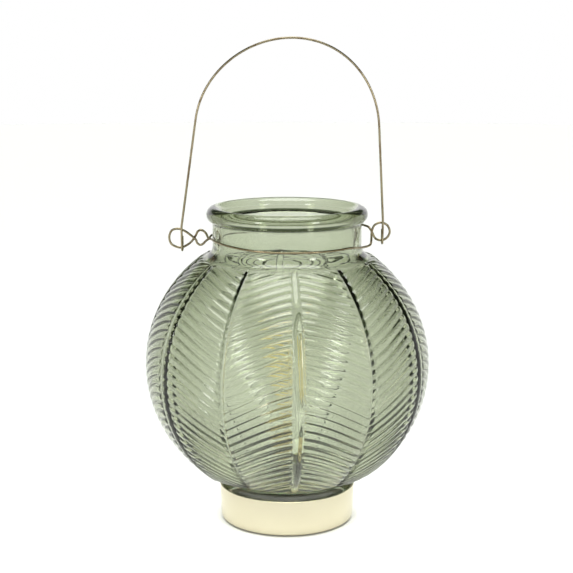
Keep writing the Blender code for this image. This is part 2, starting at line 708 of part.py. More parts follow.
def lamp_lead_route(side):
    """From the board up over its pocket's edge, under the plate's hub and up into the lamp holder."""
    board_top = board_z + BOARD_THICKNESS + GAP + LEAD_DIAMETER / 2
    tunnel_z = deck_z + PLATE_RISE / 2 + GAP
    x = side * BOARD_LENGTH / 6
    far_y = works_y + BOARD_WIDTH / 4
    return [
        (side * 0.0070, far_y, board_top),
        (side * 0.0070, far_y - 0.0006, board_top + 0.0020),
        (side * 0.0068, works_y - 0.0010, deck_z),
        (x * 1.6, PLATE_HUB_RADIUS - LEAD_INSIDE_HUB, tunnel_z),
        (x, pocket_half_width - 0.004, tunnel_z),
        (side * 0.0014, 0.0022, tunnel_z + 0.0004),
        (side * 0.0012, 0.0010, socket_z),
    ]


def make_leads():
    for end, side, finish in (("plus", 1, RED_SLEEVE), ("minus", -1, BLACK_SLEEVE)):
        route = smooth_path(battery_lead_route(side), 3)
        wire(f"battery_lead_{end}", route, LEAD_DIAMETER, finish, sides=6)
    for end, side, finish in (("plus", 1, RED_SLEEVE), ("minus", -1, BLACK_SLEEVE)):
        route = smooth_path(lamp_lead_route(side), 3)
        wire(f"lamp_lead_{end}", route, LEAD_DIAMETER, finish, sides=6)


def make_pads():
    for number, centre in enumerate(pad_places(), 1):
        high = chassis_bottom + PAD_RECESS
        outline = [(0, high), (PAD_RADIUS, high)]
        outline += [(PAD_RADIUS, PAD_EDGE), (PAD_RADIUS - PAD_EDGE, 0), (0, 0)]
        turned(f"foot_{number}", outline, GREY_RUBBER, SMALL_TURN_STEPS, centre)


def make_bulb_plate():
    """A moulded plate with a raised hub, flat where it is screwed down and where the socket stands."""
    rim = plate_radius - PLATE_RIM
    lift = PLATE_RISE
    top = plate_z + PLATE_THICKNESS
    outline = [
        (PLATE_HOLE_RADIUS, top + lift), (PLATE_HUB_RADIUS, top + lift), (rim, top), (plate_radius, top),
        (plate_radius, plate_z), (rim - PLATE_STEP_SLOPE, plate_z),
        (PLATE_HUB_RADIUS - PLATE_STEP_SLOPE, plate_z + lift), (PLATE_HOLE_RADIUS, plate_z + lift),
    ]
    plate = turned("bulb_plate", outline, BLACK_PLASTIC)
    low, high = plate_z - CUTTER_OVERRUN, top + CUTTER_OVERRUN
    for number, centre in enumerate(plate_screw_places()):
        cut_hole(plate, f"plate_hole_{number}", SCREW_SHANK_RADIUS + GAP, low, high, centre, 16)


def make_socket():
    """The lamp holder: a plastic cup with a foot, and the leaf that meets the bulb's tip."""
    top = socket_z + SOCKET_HEIGHT
    bore = CAP_RADIUS + GAP
    flange_top = socket_z + SOCKET_FLANGE
    floor = socket_z + SOCKET_FLOOR
    edge = 0.0004
    outline = [
        (SOCKET_RADIUS - edge, top), (SOCKET_RADIUS, top - edge), (SOCKET_RADIUS, flange_top),
        (SOCKET_FLANGE_RADIUS, flange_top), (SOCKET_FLANGE_RADIUS, socket_z), (SOCKET_WIRE_HOLE, socket_z),
        (SOCKET_WIRE_HOLE, floor), (bore, floor), (bore, top),
    ]
    turned("lamp_socket", outline, BLACK_PLASTIC, 32)
    leaf_top = socket_contact_z + CONTACT_THICKNESS
    disc("socket_contact", SOCKET_LEAF_RADIUS, socket_contact_z, leaf_top, NICKEL)


def make_bulb_base():
    """The tip, the insulator and the threaded cap."""
    top = tip_z + BULB_TIP_HEIGHT
    outline = [(0, top), (BULB_TIP_RADIUS, top), (BULB_TIP_RADIUS * 0.75, tip_z + 0.0002), (0, tip_z)]
    turned("bulb_contact", outline, NICKEL, SMALL_TURN_STEPS)
    top = insulator_z + INSULATOR_HEIGHT
    wide = CAP_RADIUS - 0.0014
    outline = [(0, top), (wide, top), (INSULATOR_TIP_RADIUS, insulator_z), (0, insulator_z)]
    turned("bulb_insulator", outline, BLACK_PLASTIC, SMALL_TURN_STEPS)
    root = CAP_RADIUS - THREAD_DEPTH
    inner = root - CAP_WALL
    outline = [(root + 0.0001, cap_top_z)]
    thread_top = cap_top_z - 0.0050
    for turn in range(THREAD_TURNS):
        crest = thread_top - turn * THREAD_PITCH
        outline += [(root, crest), (CAP_RADIUS, crest - THREAD_PITCH * 0.35)]
        outline += [(CAP_RADIUS, crest - THREAD_PITCH * 0.60)]
    outline += [(root, cap_z + 0.0008), (inner + 0.0002, cap_z)]
    outline += [(inner - 0.0002, cap_z), (inner, cap_top_z)]
    turned("bulb_cap", outline, GOLD, 16)


def bulb_side(wall, count):
    """(radius, height) points down the bulb's side, from its crown to the end of its neck."""
    radius = BULB_RADIUS - wall
    leave = math.radians(-38)
    join_at = (radius * math.cos(leave), bulb_middle_z + radius * math.sin(leave))
    neck = BULB_NECK_RADIUS - wall
    run = (join_at[0] - neck) / math.tan(-leave)
    corner = (neck, join_at[1] - run * math.tan(math.radians(90) + leave) * 0.78)
    points = arc((0, bulb_middle_z), radius, 90, -38, count)
    points[0] = (0, bulb_middle_z + radius)
    points += bend(join_at, corner, (neck, cap_top_z + 0.0080), 3)[1:]
    points.append((neck, cap_top_z + GAP))
    return points


def make_bulb_glass():
    """A thin pear-shaped shell, open at its neck."""
    outline = bulb_side(0, 8) + list(reversed(bulb_side(BULB_WALL, 7)))
    turned("bulb_glass", outline, CLEAR_GLASS, SMALL_TURN_STEPS)


def make_stem():
    """The glass flare and rod that hold the filaments, and the mast up to their tops."""
    top = stem_z + STEM_HEIGHT
    flare = CAP_RADIUS - THREAD_DEPTH - CAP_WALL - 2 * GAP
    outline = [
        (0, top), (STEM_RADIUS, top - 0.0005), (STEM_RADIUS, stem_z + 0.0070),
        (STEM_RADIUS + 0.0010, stem_z + 0.0035), (flare, stem_z + 0.0012), (flare, stem_z), (0, stem_z),
    ]
    turned("bulb_stem", outline, CLEAR_GLASS, SMALL_TURN_STEPS)
    disc("filament_mast", MAST_RADIUS, filament_z, filament_z + FILAMENT_LENGTH - GAP, NICKEL, steps=12)


def make_star(name, reach, low):
    """A stamped star with an arm to each filament."""
    outline = []
    root = STAR_ARM * 2
    for arm in range(FILAMENT_COUNT):
        angle = FILAMENT_TURN + 2 * math.pi * arm / FILAMENT_COUNT
        along = Vector((math.cos(angle), math.sin(angle)))
        across = Vector((-along.y, along.x)) * STAR_ARM
        outline += [tuple(along * root - across), tuple(along * reach - across)]
        outline += [tuple(along * reach + across), tuple(along * root + across)]
    flat_plate(name, outline, low, low + STAR_THICKNESS, NICKEL)


def make_filaments():
    """Straight rods between two stars, leaning out towards the top."""
    tilt = math.atan2(FILAMENT_TOP_SPREAD - FILAMENT_FOOT_SPREAD, FILAMENT_LENGTH)
    length = FILAMENT_LENGTH - 2 * STAR_THICKNESS
    for number in range(FILAMENT_COUNT):
        angle = FILAMENT_TURN + 2 * math.pi * number / FILAMENT_COUNT
        name = f"led_filament_{number + 1}"
        rod = disc(name, FILAMENT_RADIUS, 0, length, YELLOW_PHOSPHOR, steps=12)
        rod.rotation_euler = (0, tilt, angle)
        foot = Vector((math.cos(angle), math.sin(angle), 0)) * FILAMENT_FOOT_SPREAD
        rod.location = foot + Vector((0, 0, filament_z + STAR_THICKNESS))
    low = stem_z + STEM_HEIGHT + GAP
    make_star("filament_star_lower", FILAMENT_FOOT_SPREAD + STAR_OVERHANG, low)
    low = filament_z + FILAMENT_LENGTH + GAP
    make_star("filament_star_upper", FILAMENT_TOP_SPREAD + STAR_OVERHANG, low)


def on_ring(degrees, lift=0.0):
    """A point of the ring round the neck, its angle from the front towards +X."""
    angle = math.radians(degrees)
    return Vector((ring_radius * math.sin(angle), -ring_radius * math.cos(angle), ring_z + lift))


def left_ear_route():
    """In from the back of the neck, through the twist, round the open bight and back to the front."""
    centre, r = bight, BIGHT_RADIUS
    twist_z = bight.z
    return [
        on_ring(-108, RING_LIFT_LEFT),
        (-ring_radius - 0.0001, 0.0074, twist_z + 0.0002),
        (-ring_radius - 0.0014, 0.0030, twist_z - 0.0006),
        (-ring_radius - 0.0030, 0.0018, twist_z + 0.0020),
        (-ring_radius - 0.0058, 0.0013, twist_z + 0.0039),
        (centre.x + 0.0088, 0.0011, twist_z + 0.0008),
        (centre.x + 0.0062, 0.0009, twist_z - 0.0026),
        (centre.x + 0.0022, 0.0006, centre.z - r),
        (centre.x - 0.0008, 0.0006, centre.z - r),
        (centre.x - 0.0040, 0.0004, centre.z - 0.0032),
        (centre.x - r, 0.0000, centre.z + 0.0004),
        (centre.x - 0.0036, -0.0003, centre.z + 0.0040),
        (centre.x, -0.0006, centre.z + r),
        (centre.x + 0.0040, -0.0007, centre.z + 0.0034),
        (centre.x + 0.0088, -0.0010, twist_z - 0.0004),
        (-ring_radius - 0.0058, -0.0012, twist_z - 0.0033),
        (-ring_radius - 0.0028, -0.0022, twist_z - 0.0016),
        (-ring_radius - 0.0008, -0.0050, twist_z + 0.0002),
        on_ring(-78, RING_LIFT_LEFT),
        on_ring(-70, RING_LIFT_LEFT),
    ]


def right_ear_route():
    """Off the front of the neck, up the eye's near side and once round it, and back behind the neck."""
    r = EYE_RADIUS
    return [
        on_ring(58, -0.0004),
        on_ring(66, -0.0012),
        (ring_radius + 0.0006, -0.0092, ring_z - 0.0018),
        (eye.x - r - 0.0010, -0.0052, ring_z - 0.0014),
        (eye.x - r - 0.0003, -0.0032, ring_z + 0.0008),
        (eye.x - r, -0.0016, eye.z),
        (eye.x - 0.0034, -0.0011, eye.z + 0.0034),
        (eye.x, -0.0007, eye.z + r),
        (eye.x + 0.0034, -0.0004, eye.z + 0.0034),
        (eye.x + r, -0.0001, eye.z),
        (eye.x + 0.0037, 0.0003, eye.z - 0.0031),
        (hook_right.x, 0.0006, eye.z - r),
        (eye.x - 0.0026, 0.0009, eye.z - 0.0040),
        (eye.x - r + 0.0002, 0.0015, eye.z - 0.0004),
        (eye.x - r - 0.0014, 0.0034, eye.z + 0.0018),
        (ring_radius + 0.0006, 0.0085, ring_z + 0.0071),
        on_ring(110, RING_LIFT_BACK),
    ]


def make_neck_wire():
    """One closed wire: the left ear, the front, the right ear and the back."""
    front = []
    for i in range(15):
        degrees = -62 + 8 * i
        left_share = max(0.0, -degrees / 75)
        front.append(on_ring(degrees, RING_LIFT_LEFT * left_share * left_share * (3 - 2 * left_share)))
    drop = RING_LIFT_BACK - RING_LIFT_LEFT
    back = [on_ring(118 + 8 * i, RING_LIFT_BACK - drop * i / 16) for i in range(17)]
    points = smooth_path(left_ear_route(), 3) + front + smooth_path(right_ear_route(), 3) + back
    wire("neck_wire", points, WIRE_DIAMETER, BRASS_WIRE, looped=True)


def hook_points(foot):
    """A hook like a J: down in front of the ear's wire, round under it, and up behind to the tail's end."""
    back = foot.y + HOOK_RADIUS
    points = [
        Vector((foot.x, -BAIL_IN_FRONT, foot.z + 0.0115)),
        Vector((foot.x, 0.0002 - BAIL_IN_FRONT, foot.z + 0.0070)),
        Vector((foot.x, foot.y - HOOK_RADIUS - 0.0003, foot.z + 0.0026)),
    ]
    for i in range(13):
        angle = math.radians(180 + 15 * i)
        points.append(foot + Vector((0, math.cos(angle), math.sin(angle))) * HOOK_RADIUS)
    points.append(Vector((foot.x, back + 0.0001, foot.z + HOOK_TAIL / 2)))
    points.append(Vector((foot.x, back + 0.0004, foot.z + HOOK_TAIL)))
    return points


def touch_angle(foot, centre, side):
    """Where on the arch's circle the straight leg from a foot meets it, in degrees."""
    to_centre = centre - foot
    swing = math.asin(BAIL_ARCH_RADIUS / to_centre.length)
    leg = math.atan2(to_centre.y, to_centre.x) + side * swing
    return math.degrees(leg + side * math.pi / 2)


def make_bail():
    """The handle: hook, leg, arch, leg and hook, in a plane just in front of the eyes."""
    left = hook_points(hook_left)
    right = hook_points(hook_right)
    centre = Vector((0, hook_left.z + BAIL_ARCH_ABOVE_HOOK))
    start = touch_angle(Vector((left[0].x, left[0].z)), centre, 1)
    end = touch_angle(Vector((right[0].x, right[0].z)), centre, -1)
    arch = []
    for x, z in arc(centre, BAIL_ARCH_RADIUS, start, end, 32):
        rise = (z - centre.y) / BAIL_ARCH_RADIUS
        arch.append(Vector((x + BAIL_LEAN * rise * rise, -BAIL_IN_FRONT, z)))
    left_leg = straight(left[0], arch[0], 3)
    right_leg = straight(arch[-1], right[0], 3)
    points = list(reversed(left)) + left_leg + arch + right_leg + right
    wire("bail_handle", points, WIRE_DIAMETER, BRASS_WIRE, (hook_left + hook_right) / 2)


def straight(first, last, pieces):
    """The points between two ends, without the ends."""
    return [first.lerp(last, i / pieces) for i in range(1, pieces)]


make_glass_globe()
make_gasket()
make_base_cup()
make_chassis()
make_battery_cover()
make_cover_screw()
make_plate_screws()
make_cells()
make_springs()
make_contact_plates()
make_board()
make_switch()
make_leads()
make_pads()
make_bulb_plate()
make_socket()
make_bulb_base()
make_bulb_glass()
make_stem()
make_filaments()
make_neck_wire()
make_bail()
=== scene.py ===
"""Ribbed green glass globe lantern: gold cup, wire ring and bail, battery bulb and its works."""

import math

import bmesh
import bpy
import numpy as np
from mathutils import Matrix, Vector


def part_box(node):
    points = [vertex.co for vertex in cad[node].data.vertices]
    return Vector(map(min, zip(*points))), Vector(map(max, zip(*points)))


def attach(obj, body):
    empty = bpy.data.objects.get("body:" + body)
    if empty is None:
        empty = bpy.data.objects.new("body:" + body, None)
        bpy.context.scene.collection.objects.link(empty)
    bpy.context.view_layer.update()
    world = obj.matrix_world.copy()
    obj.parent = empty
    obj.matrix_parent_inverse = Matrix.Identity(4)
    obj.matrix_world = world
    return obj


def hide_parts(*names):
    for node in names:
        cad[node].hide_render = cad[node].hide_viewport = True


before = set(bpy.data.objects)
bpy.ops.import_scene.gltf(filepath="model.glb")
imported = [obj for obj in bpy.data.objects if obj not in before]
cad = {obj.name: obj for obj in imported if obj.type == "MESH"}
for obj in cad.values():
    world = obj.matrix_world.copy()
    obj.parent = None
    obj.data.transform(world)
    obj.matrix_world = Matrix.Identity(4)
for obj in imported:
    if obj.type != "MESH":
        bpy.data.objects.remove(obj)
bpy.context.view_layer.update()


# ---- Table, lights and camera ------------------------------------------------------------------
# A pale matt table top that runs far back, a softbox to each side of the camera, soft light
# from above, and a bright wall under a dim green-tinged ceiling. None of it is the lantern's.

TABLE_REACH = 3.0
TABLE_COLOUR = (0.93, 0.93, 0.925)
TABLE_DROP = 0.0002  # keeps its face clear of the rubber feet
SOFTBOX_TURN = 40  # degrees round from the front, to each side
SOFTBOX_LIFT = 20
SOFTBOX_DISTANCE = 0.95
SOFTBOX_SIZE = (0.16, 0.34)
SOFTBOX_POWER = 1.5
SOFTBOX_AIM = Vector((0, 0, 0.09))
TOP_LIGHT_POWER = 3.0
TOP_LIGHT_SPREAD = 50  # degrees
WALL_END = 0.20  # sine of the angle up from level
CEILING_START = 0.33
CEILING_GLOW = 0.11
CEILING_TINT = (0.80, 1.0, 0.62, 1)
WALL_TINT = (1.0, 1.0, 0.99, 1)
LENS_LENGTH = 84.8
CAMERA_LIFT = 11.04  # degrees
CAMERA_DISTANCE = 0.7212
CAMERA_AIM = Vector((-0.0003, 0, 0.1274))


def link_object(name, data):
    thing = bpy.data.objects.new(name, data)
    bpy.context.scene.collection.objects.link(thing)
    return thing


def new_material(name, colour, roughness, metallic=0.0):
    """A Principled material, with its node tree and its shader."""
    made = bpy.data.materials.new(name)
    made.use_nodes = True
    shader = made.node_tree.nodes["Principled BSDF"]
    shader.inputs["Base Color"].default_value = (*colour, 1.0)
    shader.inputs["Roughness"].default_value = roughness
    shader.inputs["Metallic"].default_value = metallic
    return made, made.node_tree, shader


def feed(tree, node, settings):
    """Sets a node's sockets to numbers and colours, or links other nodes' outputs to them."""
    for label, value in settings:
        if isinstance(value, bpy.types.NodeSocket):
            tree.links.new(value, node.inputs[label])
        else:
            node.inputs[label].default_value = value


def noise(tree, position, scale, detail=2.0, roughness=0.5):
    node = tree.nodes.new("ShaderNodeTexNoise")
    feed(tree, node, (("Vector", position), ("Scale", scale), ("Detail", detail), ("Roughness", roughness)))
    return node.outputs["Fac"]


def bump(tree, shader, height, distance, strength=1.0):
    node = tree.nodes.new("ShaderNodeBump")
    feed(tree, node, (("Height", height), ("Distance", distance), ("Strength", strength)))
    tree.links.new(node.outputs["Normal"], shader.inputs["Normal"])


def span_map(tree, value, low, high, to_low=0.0, to_high=1.0):
    """Maps a value from one range to another, smoothly."""
    node = tree.nodes.new("ShaderNodeMapRange")
    node.interpolation_type = "SMOOTHSTEP"
    feed(tree, node, (("Value", value), ("From Min", low), ("From Max", high),
                      ("To Min", to_low), ("To Max", to_high)))
    return node.outputs["Result"]


def mix_colour(tree, first, second, share):
    """Mixes two colours, each a tuple or another node's output."""
    node = tree.nodes.new("ShaderNodeMix")
    node.data_type = "RGBA"
    feed(tree, node, ((0, share), (6, first), (7, second)))
    return node.outputs[2]


def axis_of(tree, position, axis):
    """One coordinate of a position."""
    split = tree.nodes.new("ShaderNodeSeparateXYZ")
    tree.links.new(position, split.inputs["Vector"])
    return split.outputs[axis]


def make_table():
    mesh = bpy.data.meshes.new("table_top")
    shape = bmesh.new()
    bmesh.ops.create_circle(shape, cap_ends=True, segments=96, radius=TABLE_REACH)
    shape.to_mesh(mesh)
    shape.free()
    table = link_object("table_top", mesh)
    table.location.z = -TABLE_DROP
    table_finish, tree, shader = new_material("pale_table", TABLE_COLOUR, 0.9)
    across_table = tree.nodes.new("ShaderNodeTexCoord").outputs["Generated"]
    bump(tree, shader, noise(tree, across_table, 900.0), 0.0002, 0.05)
    mesh.materials.append(table_finish)


def add_softbox(name, azimuth):
    """A rectangular area light, set round from the front of the lantern and turned to face it."""
    lamp = bpy.data.lights.new(name, "AREA")
    lamp.shape = "RECTANGLE"
    lamp.size, lamp.size_y = SOFTBOX_SIZE
    lamp.energy = SOFTBOX_POWER
    box = link_object(name, lamp)
    turn, lift = math.radians(azimuth), math.radians(SOFTBOX_LIFT)
    out = Vector((math.sin(turn) * math.cos(lift), -math.cos(turn) * math.cos(lift), math.sin(lift)))
    box.location = SOFTBOX_AIM + out * SOFTBOX_DISTANCE
    box.rotation_euler = out.to_track_quat("Z", "Y").to_euler()


def add_top_light():
    """Soft light from straight above, even over the whole table."""
    lamp = bpy.data.lights.new("top_light", "SUN")
    lamp.energy = TOP_LIGHT_POWER
    lamp.angle = math.radians(TOP_LIGHT_SPREAD)
    link_object("top_light", lamp)


def make_surroundings():
    """Plain white where it is looked at directly. Glass and metal pick up the wall and the ceiling."""
    world = bpy.data.worlds.new("studio")
    bpy.context.scene.world = world
    world.use_nodes = True
    tree = world.node_tree
    tree.nodes.clear()
    direction = tree.nodes.new("ShaderNodeTexCoord").outputs["Generated"]
    glow = span_map(tree, axis_of(tree, direction, "Z"), WALL_END, CEILING_START, 1.0, CEILING_GLOW)
    room = tree.nodes.new("ShaderNodeBackground")
    feed(tree, room, (("Color", mix_colour(tree, CEILING_TINT, WALL_TINT, glow)), ("Strength", glow)))
    plain = tree.nodes.new("ShaderNodeBackground")
    feed(tree, plain, (("Color", (1, 1, 1, 1)), ("Strength", 1.0)))
    path = tree.nodes.new("ShaderNodeLightPath")
    choose = tree.nodes.new("ShaderNodeMixShader")
    feed(tree, choose, ((0, path.outputs["Is Camera Ray"]), (1, room.outputs[0]), (2, plain.outputs[0])))
    end = tree.nodes.new("ShaderNodeOutputWorld")
    tree.links.new(choose.outputs["Shader"], end.inputs["Surface"])


def make_camera():
    lens = bpy.data.cameras.new("camera")
    lens.lens = LENS_LENGTH
    lens.sensor_width = 36
    lens.clip_start = 0.05
    camera = link_object("camera", lens)
    lift = math.radians(CAMERA_LIFT)
    back = Vector((0, -math.cos(lift), math.sin(lift)))
    camera.location = CAMERA_AIM + back * CAMERA_DISTANCE
    camera.rotation_euler = back.to_track_quat("Z", "Y").to_euler()
    bpy.context.scene.camera = camera


make_table()
make_surroundings()
make_camera()
add_softbox("softbox_left", -SOFTBOX_TURN)
add_softbox("softbox_right", SOFTBOX_TURN)
add_top_light()
bpy.context.scene.view_settings.view_transform = "Standard"


# ---- Glass globe -------------------------------------------------------------------------------
# Pressed soda glass, tinted grey-green all through. The mould cuts six leaves in its outside:
# a smooth midrib, veins that fall away from it to both sides, and a crease between leaves.
# The inside, the neck, the rolled bead and the foot are smooth, as the plunger leaves them.

globe_low, globe_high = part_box("glass_globe")
GLOBE_RADIUS = globe_high.x
GLOBE_HALF_HEIGHT = 0.0713
GLASS_WALL = 0.0036
NECK_RADIUS = 0.0395
NECK_WALL = 0.0043
NECK_FLARE = 0.0045
BEAD_RADIUS = 0.0041
BEAD_OVERHANG = 0.0032
BEAD_TURN_UNDER = 70  # degrees below its widest, where the bead runs into the neck
BEAD_FILLET = 0.0008
BEAD_BORE = 0.0341  # the bead stands in a little from the neck's bore
BORE_BEND = 0.0065  # below the bead's middle, where the bore starts to close in on it
BORE_CORNER = 0.0040
FOOT_RADIUS = 0.03535
FOOT_BORE = 0.03085
FOOT_HEIGHT = 0.0074
FOOT_EDGE = 0.0010
FOOT_BORE_EDGE = 0.0006
LEAVES = 6
LEAF_SPAN = 180 / LEAVES  # degrees from a midrib to the crease beside it, as all the spans below
MIDRIB_TURN = 4.4  # from the front to the nearest midrib
MIDRIB_HALF = 1.95
MIDRIB_PROUD = 0.0011
CREASE_DEPTH = 0.0009
CREASE_HALF = 1.5
LEAF_SWELL = 0.0007
VEIN_PITCH = 3.65  # degrees up the globe, as all the heights below
VEIN_PROUD = 0.0008
VEIN_SHARPNESS = 2.8
VEIN_FIRST = 5.9
VEIN_ROWS = 7  # rings of points to each vein
VEIN_FALL = 13.5
VEIN_FALL_LOSS = 0.12  # a vein falls less the higher it starts
VEIN_FALL_LEVEL = 5.0
VEIN_CURVE = 0.35
VEINS_TOP = 54.1
VEINS_BOTTOM = -56.0
VEINS_CROWD = 1.6  # how softly the veins close up where they end
GREEN_TINT = (0.60, 0.635, 0.48, 1)
GREEN_DEPTH = 176

globe_z = globe_low.z + FOOT_HEIGHT + GLOBE_HALF_HEIGHT * math.sqrt(1 - (FOOT_RADIUS / GLOBE_RADIUS) ** 2)
neck_root_z = globe_z + GLOBE_HALF_HEIGHT * math.sqrt(1 - (NECK_RADIUS / GLOBE_RADIUS) ** 2)
bead_r = NECK_RADIUS + BEAD_OVERHANG - BEAD_RADIUS
bead_z = globe_high.z - BEAD_RADIUS


def ease(low, high, value):
    """0 below low, 1 above high, smooth between."""
    share = np.clip((value - low) / (high - low), 0.0, 1.0)
    return share * share * (3 - 2 * share)


def arc(centre, radius, start, end, count):
    """Points of an arc in a plane, from one angle in degrees to another."""
    angles = [math.radians(start + (end - start) * i / count) for i in range(count + 1)]
    return [(centre[0] + radius * math.cos(a), centre[1] + radius * math.sin(a)) for a in angles]


def bend(first, corner, last, count):
    """Points of a curve that leaves and arrives along the two lines through a corner."""
    points = []
    for i in range(count + 1):
        t = i / count
        weights = ((1 - t) ** 2, 2 * t * (1 - t), t * t)
        points.append(tuple(sum(w * p[k] for w, p in zip(weights, (first, corner, last))) for k in (0, 1)))
    return points


def globe_curve(start, end, wall, count):
    """(radius, height) points of the ellipsoid less a wall, from one angle in degrees to another."""
    wide, high = GLOBE_RADIUS - wall, GLOBE_HALF_HEIGHT - wall
    angles = [math.radians(start + (end - start) * i / count) for i in range(count + 1)]
    return [(wide * math.cos(a), globe_z + high * math.sin(a)) for a in angles]


def half_leaf_columns():
    """Degrees from a midrib towards a crease, closer together at both."""
    by_midrib = [0.0, 0.7, 1.3, 1.75, 2.05, 2.3, 3.0]
    by_crease = [LEAF_SPAN - 1.7, LEAF_SPAN - 1.1, LEAF_SPAN - 0.5]
    return by_midrib + [4.2 + 2.1 * i for i in range(12)] + by_crease


def globe_turns():
    """Angles round the globe from a midrib, and each one's span from the nearest midrib, in degrees."""
    half = half_leaf_columns()
    turns = []
    spans = []
    for leaf in range(LEAVES):
        midrib = 2 * LEAF_SPAN * leaf
        for span in half:
            turns.append(midrib + span)
            spans.append(span)
        for span in [LEAF_SPAN] + list(reversed(half[1:])):
            turns.append(midrib + 2 * LEAF_SPAN - span)
            spans.append(span)
    return np.array(turns), np.array(spans)


def pressed_rise(span, station, height_angle):
    """How far the pattern stands out, at a span from the midrib along the vein of a station."""
    along = np.mod((station - VEIN_FIRST) / VEIN_PITCH, 1.0)
    vein = VEIN_PROUD * (1 - np.abs(2 * along - 1) ** VEIN_SHARPNESS)
    clear_of_midrib = ease(MIDRIB_HALF - 0.1, MIDRIB_HALF + 0.9, span)
    clear_of_crease = 1 - ease(LEAF_SPAN - 1.4, LEAF_SPAN - 0.1, span)
    midrib = MIDRIB_PROUD * np.sqrt(np.clip(1 - (span / (MIDRIB_HALF + 0.35)) ** 2, 0, 1))
    crease = CREASE_DEPTH * (1 - ease(0.0, CREASE_HALF, LEAF_SPAN - span))
    swell = LEAF_SWELL * (1 - (span / LEAF_SPAN) ** 2)
    above_foot = ease(VEINS_BOTTOM, VEINS_BOTTOM + 3.5, height_angle)
    below_neck = 1 - ease(VEINS_TOP - 2.5, VEINS_TOP, height_angle)
    return above_foot * below_neck * (vein * clear_of_midrib * clear_of_crease + midrib - crease + swell)


def soft_top(value, limit, sharpness):
    """Follows the value until it nears the limit, which it never reaches."""
    room = limit - value
    return limit - (room + np.sqrt(room * room + sharpness * sharpness)) / 2


def ribbed_rings(spans):
    """The pressed zone's rings, top to bottom: each follows the veins down from the midribs."""
    drop = np.hypot(spans / LEAF_SPAN, VEIN_CURVE) - VEIN_CURVE
    drop /= math.hypot(1, VEIN_CURVE) - VEIN_CURVE
    step = VEIN_PITCH / VEIN_ROWS
    first = VEIN_FIRST + math.ceil((VEINS_TOP + 8.0 - VEIN_FIRST) / step) * step
    rings = []
    for row in range(int((first - VEINS_BOTTOM) / step)):
        station = first - row * step
        fall = VEIN_FALL - VEIN_FALL_LOSS * max(station - VEIN_FALL_LEVEL, 0.0)
        angle = soft_top(station - fall * drop, VEINS_TOP, VEINS_CROWD)
        angle = -soft_top(-angle, -VEINS_BOTTOM, VEINS_CROWD)
        rise = pressed_rise(spans, station, angle)
        a = np.radians(angle)
        out_r, out_z = np.cos(a) / GLOBE_RADIUS, np.sin(a) / GLOBE_HALF_HEIGHT
        length = np.hypot(out_r, out_z)
        rings.append((GLOBE_RADIUS * np.cos(a) + rise * out_r / length,
                      globe_z + GLOBE_HALF_HEIGHT * np.sin(a) + rise * out_z / length))
    return rings


def outside_above_leaves():
    """From the top of the bead round and under it, down the neck and out to the leaves."""
    points = arc((bead_r, bead_z), BEAD_RADIUS, 90, -BEAD_TURN_UNDER, 14)
    under_r, under_z = points[-1]
    fillet_z = under_z - (under_r - NECK_RADIUS) / math.tan(math.radians(BEAD_TURN_UNDER))
    points += bend(points[-1], (NECK_RADIUS, fillet_z), (NECK_RADIUS, fillet_z - BEAD_FILLET), 4)[1:]
    points += [(NECK_RADIUS, neck_root_z + NECK_FLARE * 1.2)]
    leaves_top = globe_curve(VEINS_TOP, VEINS_TOP, 0, 1)[0]
    neck_root = (NECK_RADIUS, neck_root_z)
    return points + bend((NECK_RADIUS, neck_root_z + NECK_FLARE * 0.8), neck_root, leaves_top, 8)


def outside_below_leaves():
    """From the leaves in to the foot, down it and round its edge."""
    points = globe_curve(VEINS_BOTTOM, -math.degrees(math.acos(FOOT_RADIUS / GLOBE_RADIUS)), 0, 5)
    points += [(FOOT_RADIUS, globe_low.z + FOOT_EDGE * 4)]
    return points + arc((FOOT_RADIUS - FOOT_EDGE, globe_low.z + FOOT_EDGE), FOOT_EDGE, 0, -90, 3)


def inside_of_globe():
    """Up the foot's bore, round the hollow, up the neck's bore and over the bead's inner side."""
    bore = NECK_RADIUS - NECK_WALL
    wide, high = GLOBE_RADIUS - GLASS_WALL, GLOBE_HALF_HEIGHT - GLASS_WALL
    low_angle = -math.degrees(math.acos(FOOT_BORE / wide))
    flare_angle = math.degrees(math.acos((bore + NECK_FLARE) / wide))
    bore_root_z = globe_z + high * math.sqrt(1 - (bore / wide) ** 2)
    stretch = (bead_r - BEAD_BORE) / BEAD_RADIUS
    bead_inside = [(bead_r + stretch * (r - bead_r), z)
                   for r, z in arc((bead_r, bead_z), BEAD_RADIUS, 212, 98, 12)]
    points = [(FOOT_BORE + FOOT_BORE_EDGE, globe_low.z), (FOOT_BORE, globe_low.z + FOOT_BORE_EDGE)]
    points += globe_curve(low_angle, flare_angle, GLASS_WALL, 44)
    points += bend(points[-1], (bore, bore_root_z), (bore, bore_root_z + NECK_FLARE), 6)[1:]
    points += [(bore, bead_z - BORE_BEND - 0.0020)]
    points += bend((bore, bead_z - BORE_BEND), (bore, bead_z - BORE_CORNER), bead_inside[0], 4)
    return points + bead_inside[1:]


def skinned(name, rings):
    """Joins rings of points, each to the next and the last to the first, in one smooth closed skin."""
    deep, across = len(rings), len(rings[0])
    ring = np.arange(deep)[:, None] * across
    after = ((np.arange(deep) + 1) % deep)[:, None] * across
    here = np.arange(across)[None, :]
    beside = (here + 1) % across
    faces = np.stack([ring + here, after + here, after + beside, ring + beside], axis=-1).reshape(-1, 4)
    mesh = bpy.data.meshes.new(name)
    mesh.from_pydata(np.concatenate(rings).tolist(), [], faces.tolist())
    mesh.polygons.foreach_set("use_smooth", np.ones(len(faces), dtype=bool))
    mesh.update()
    return link_object(name, mesh)


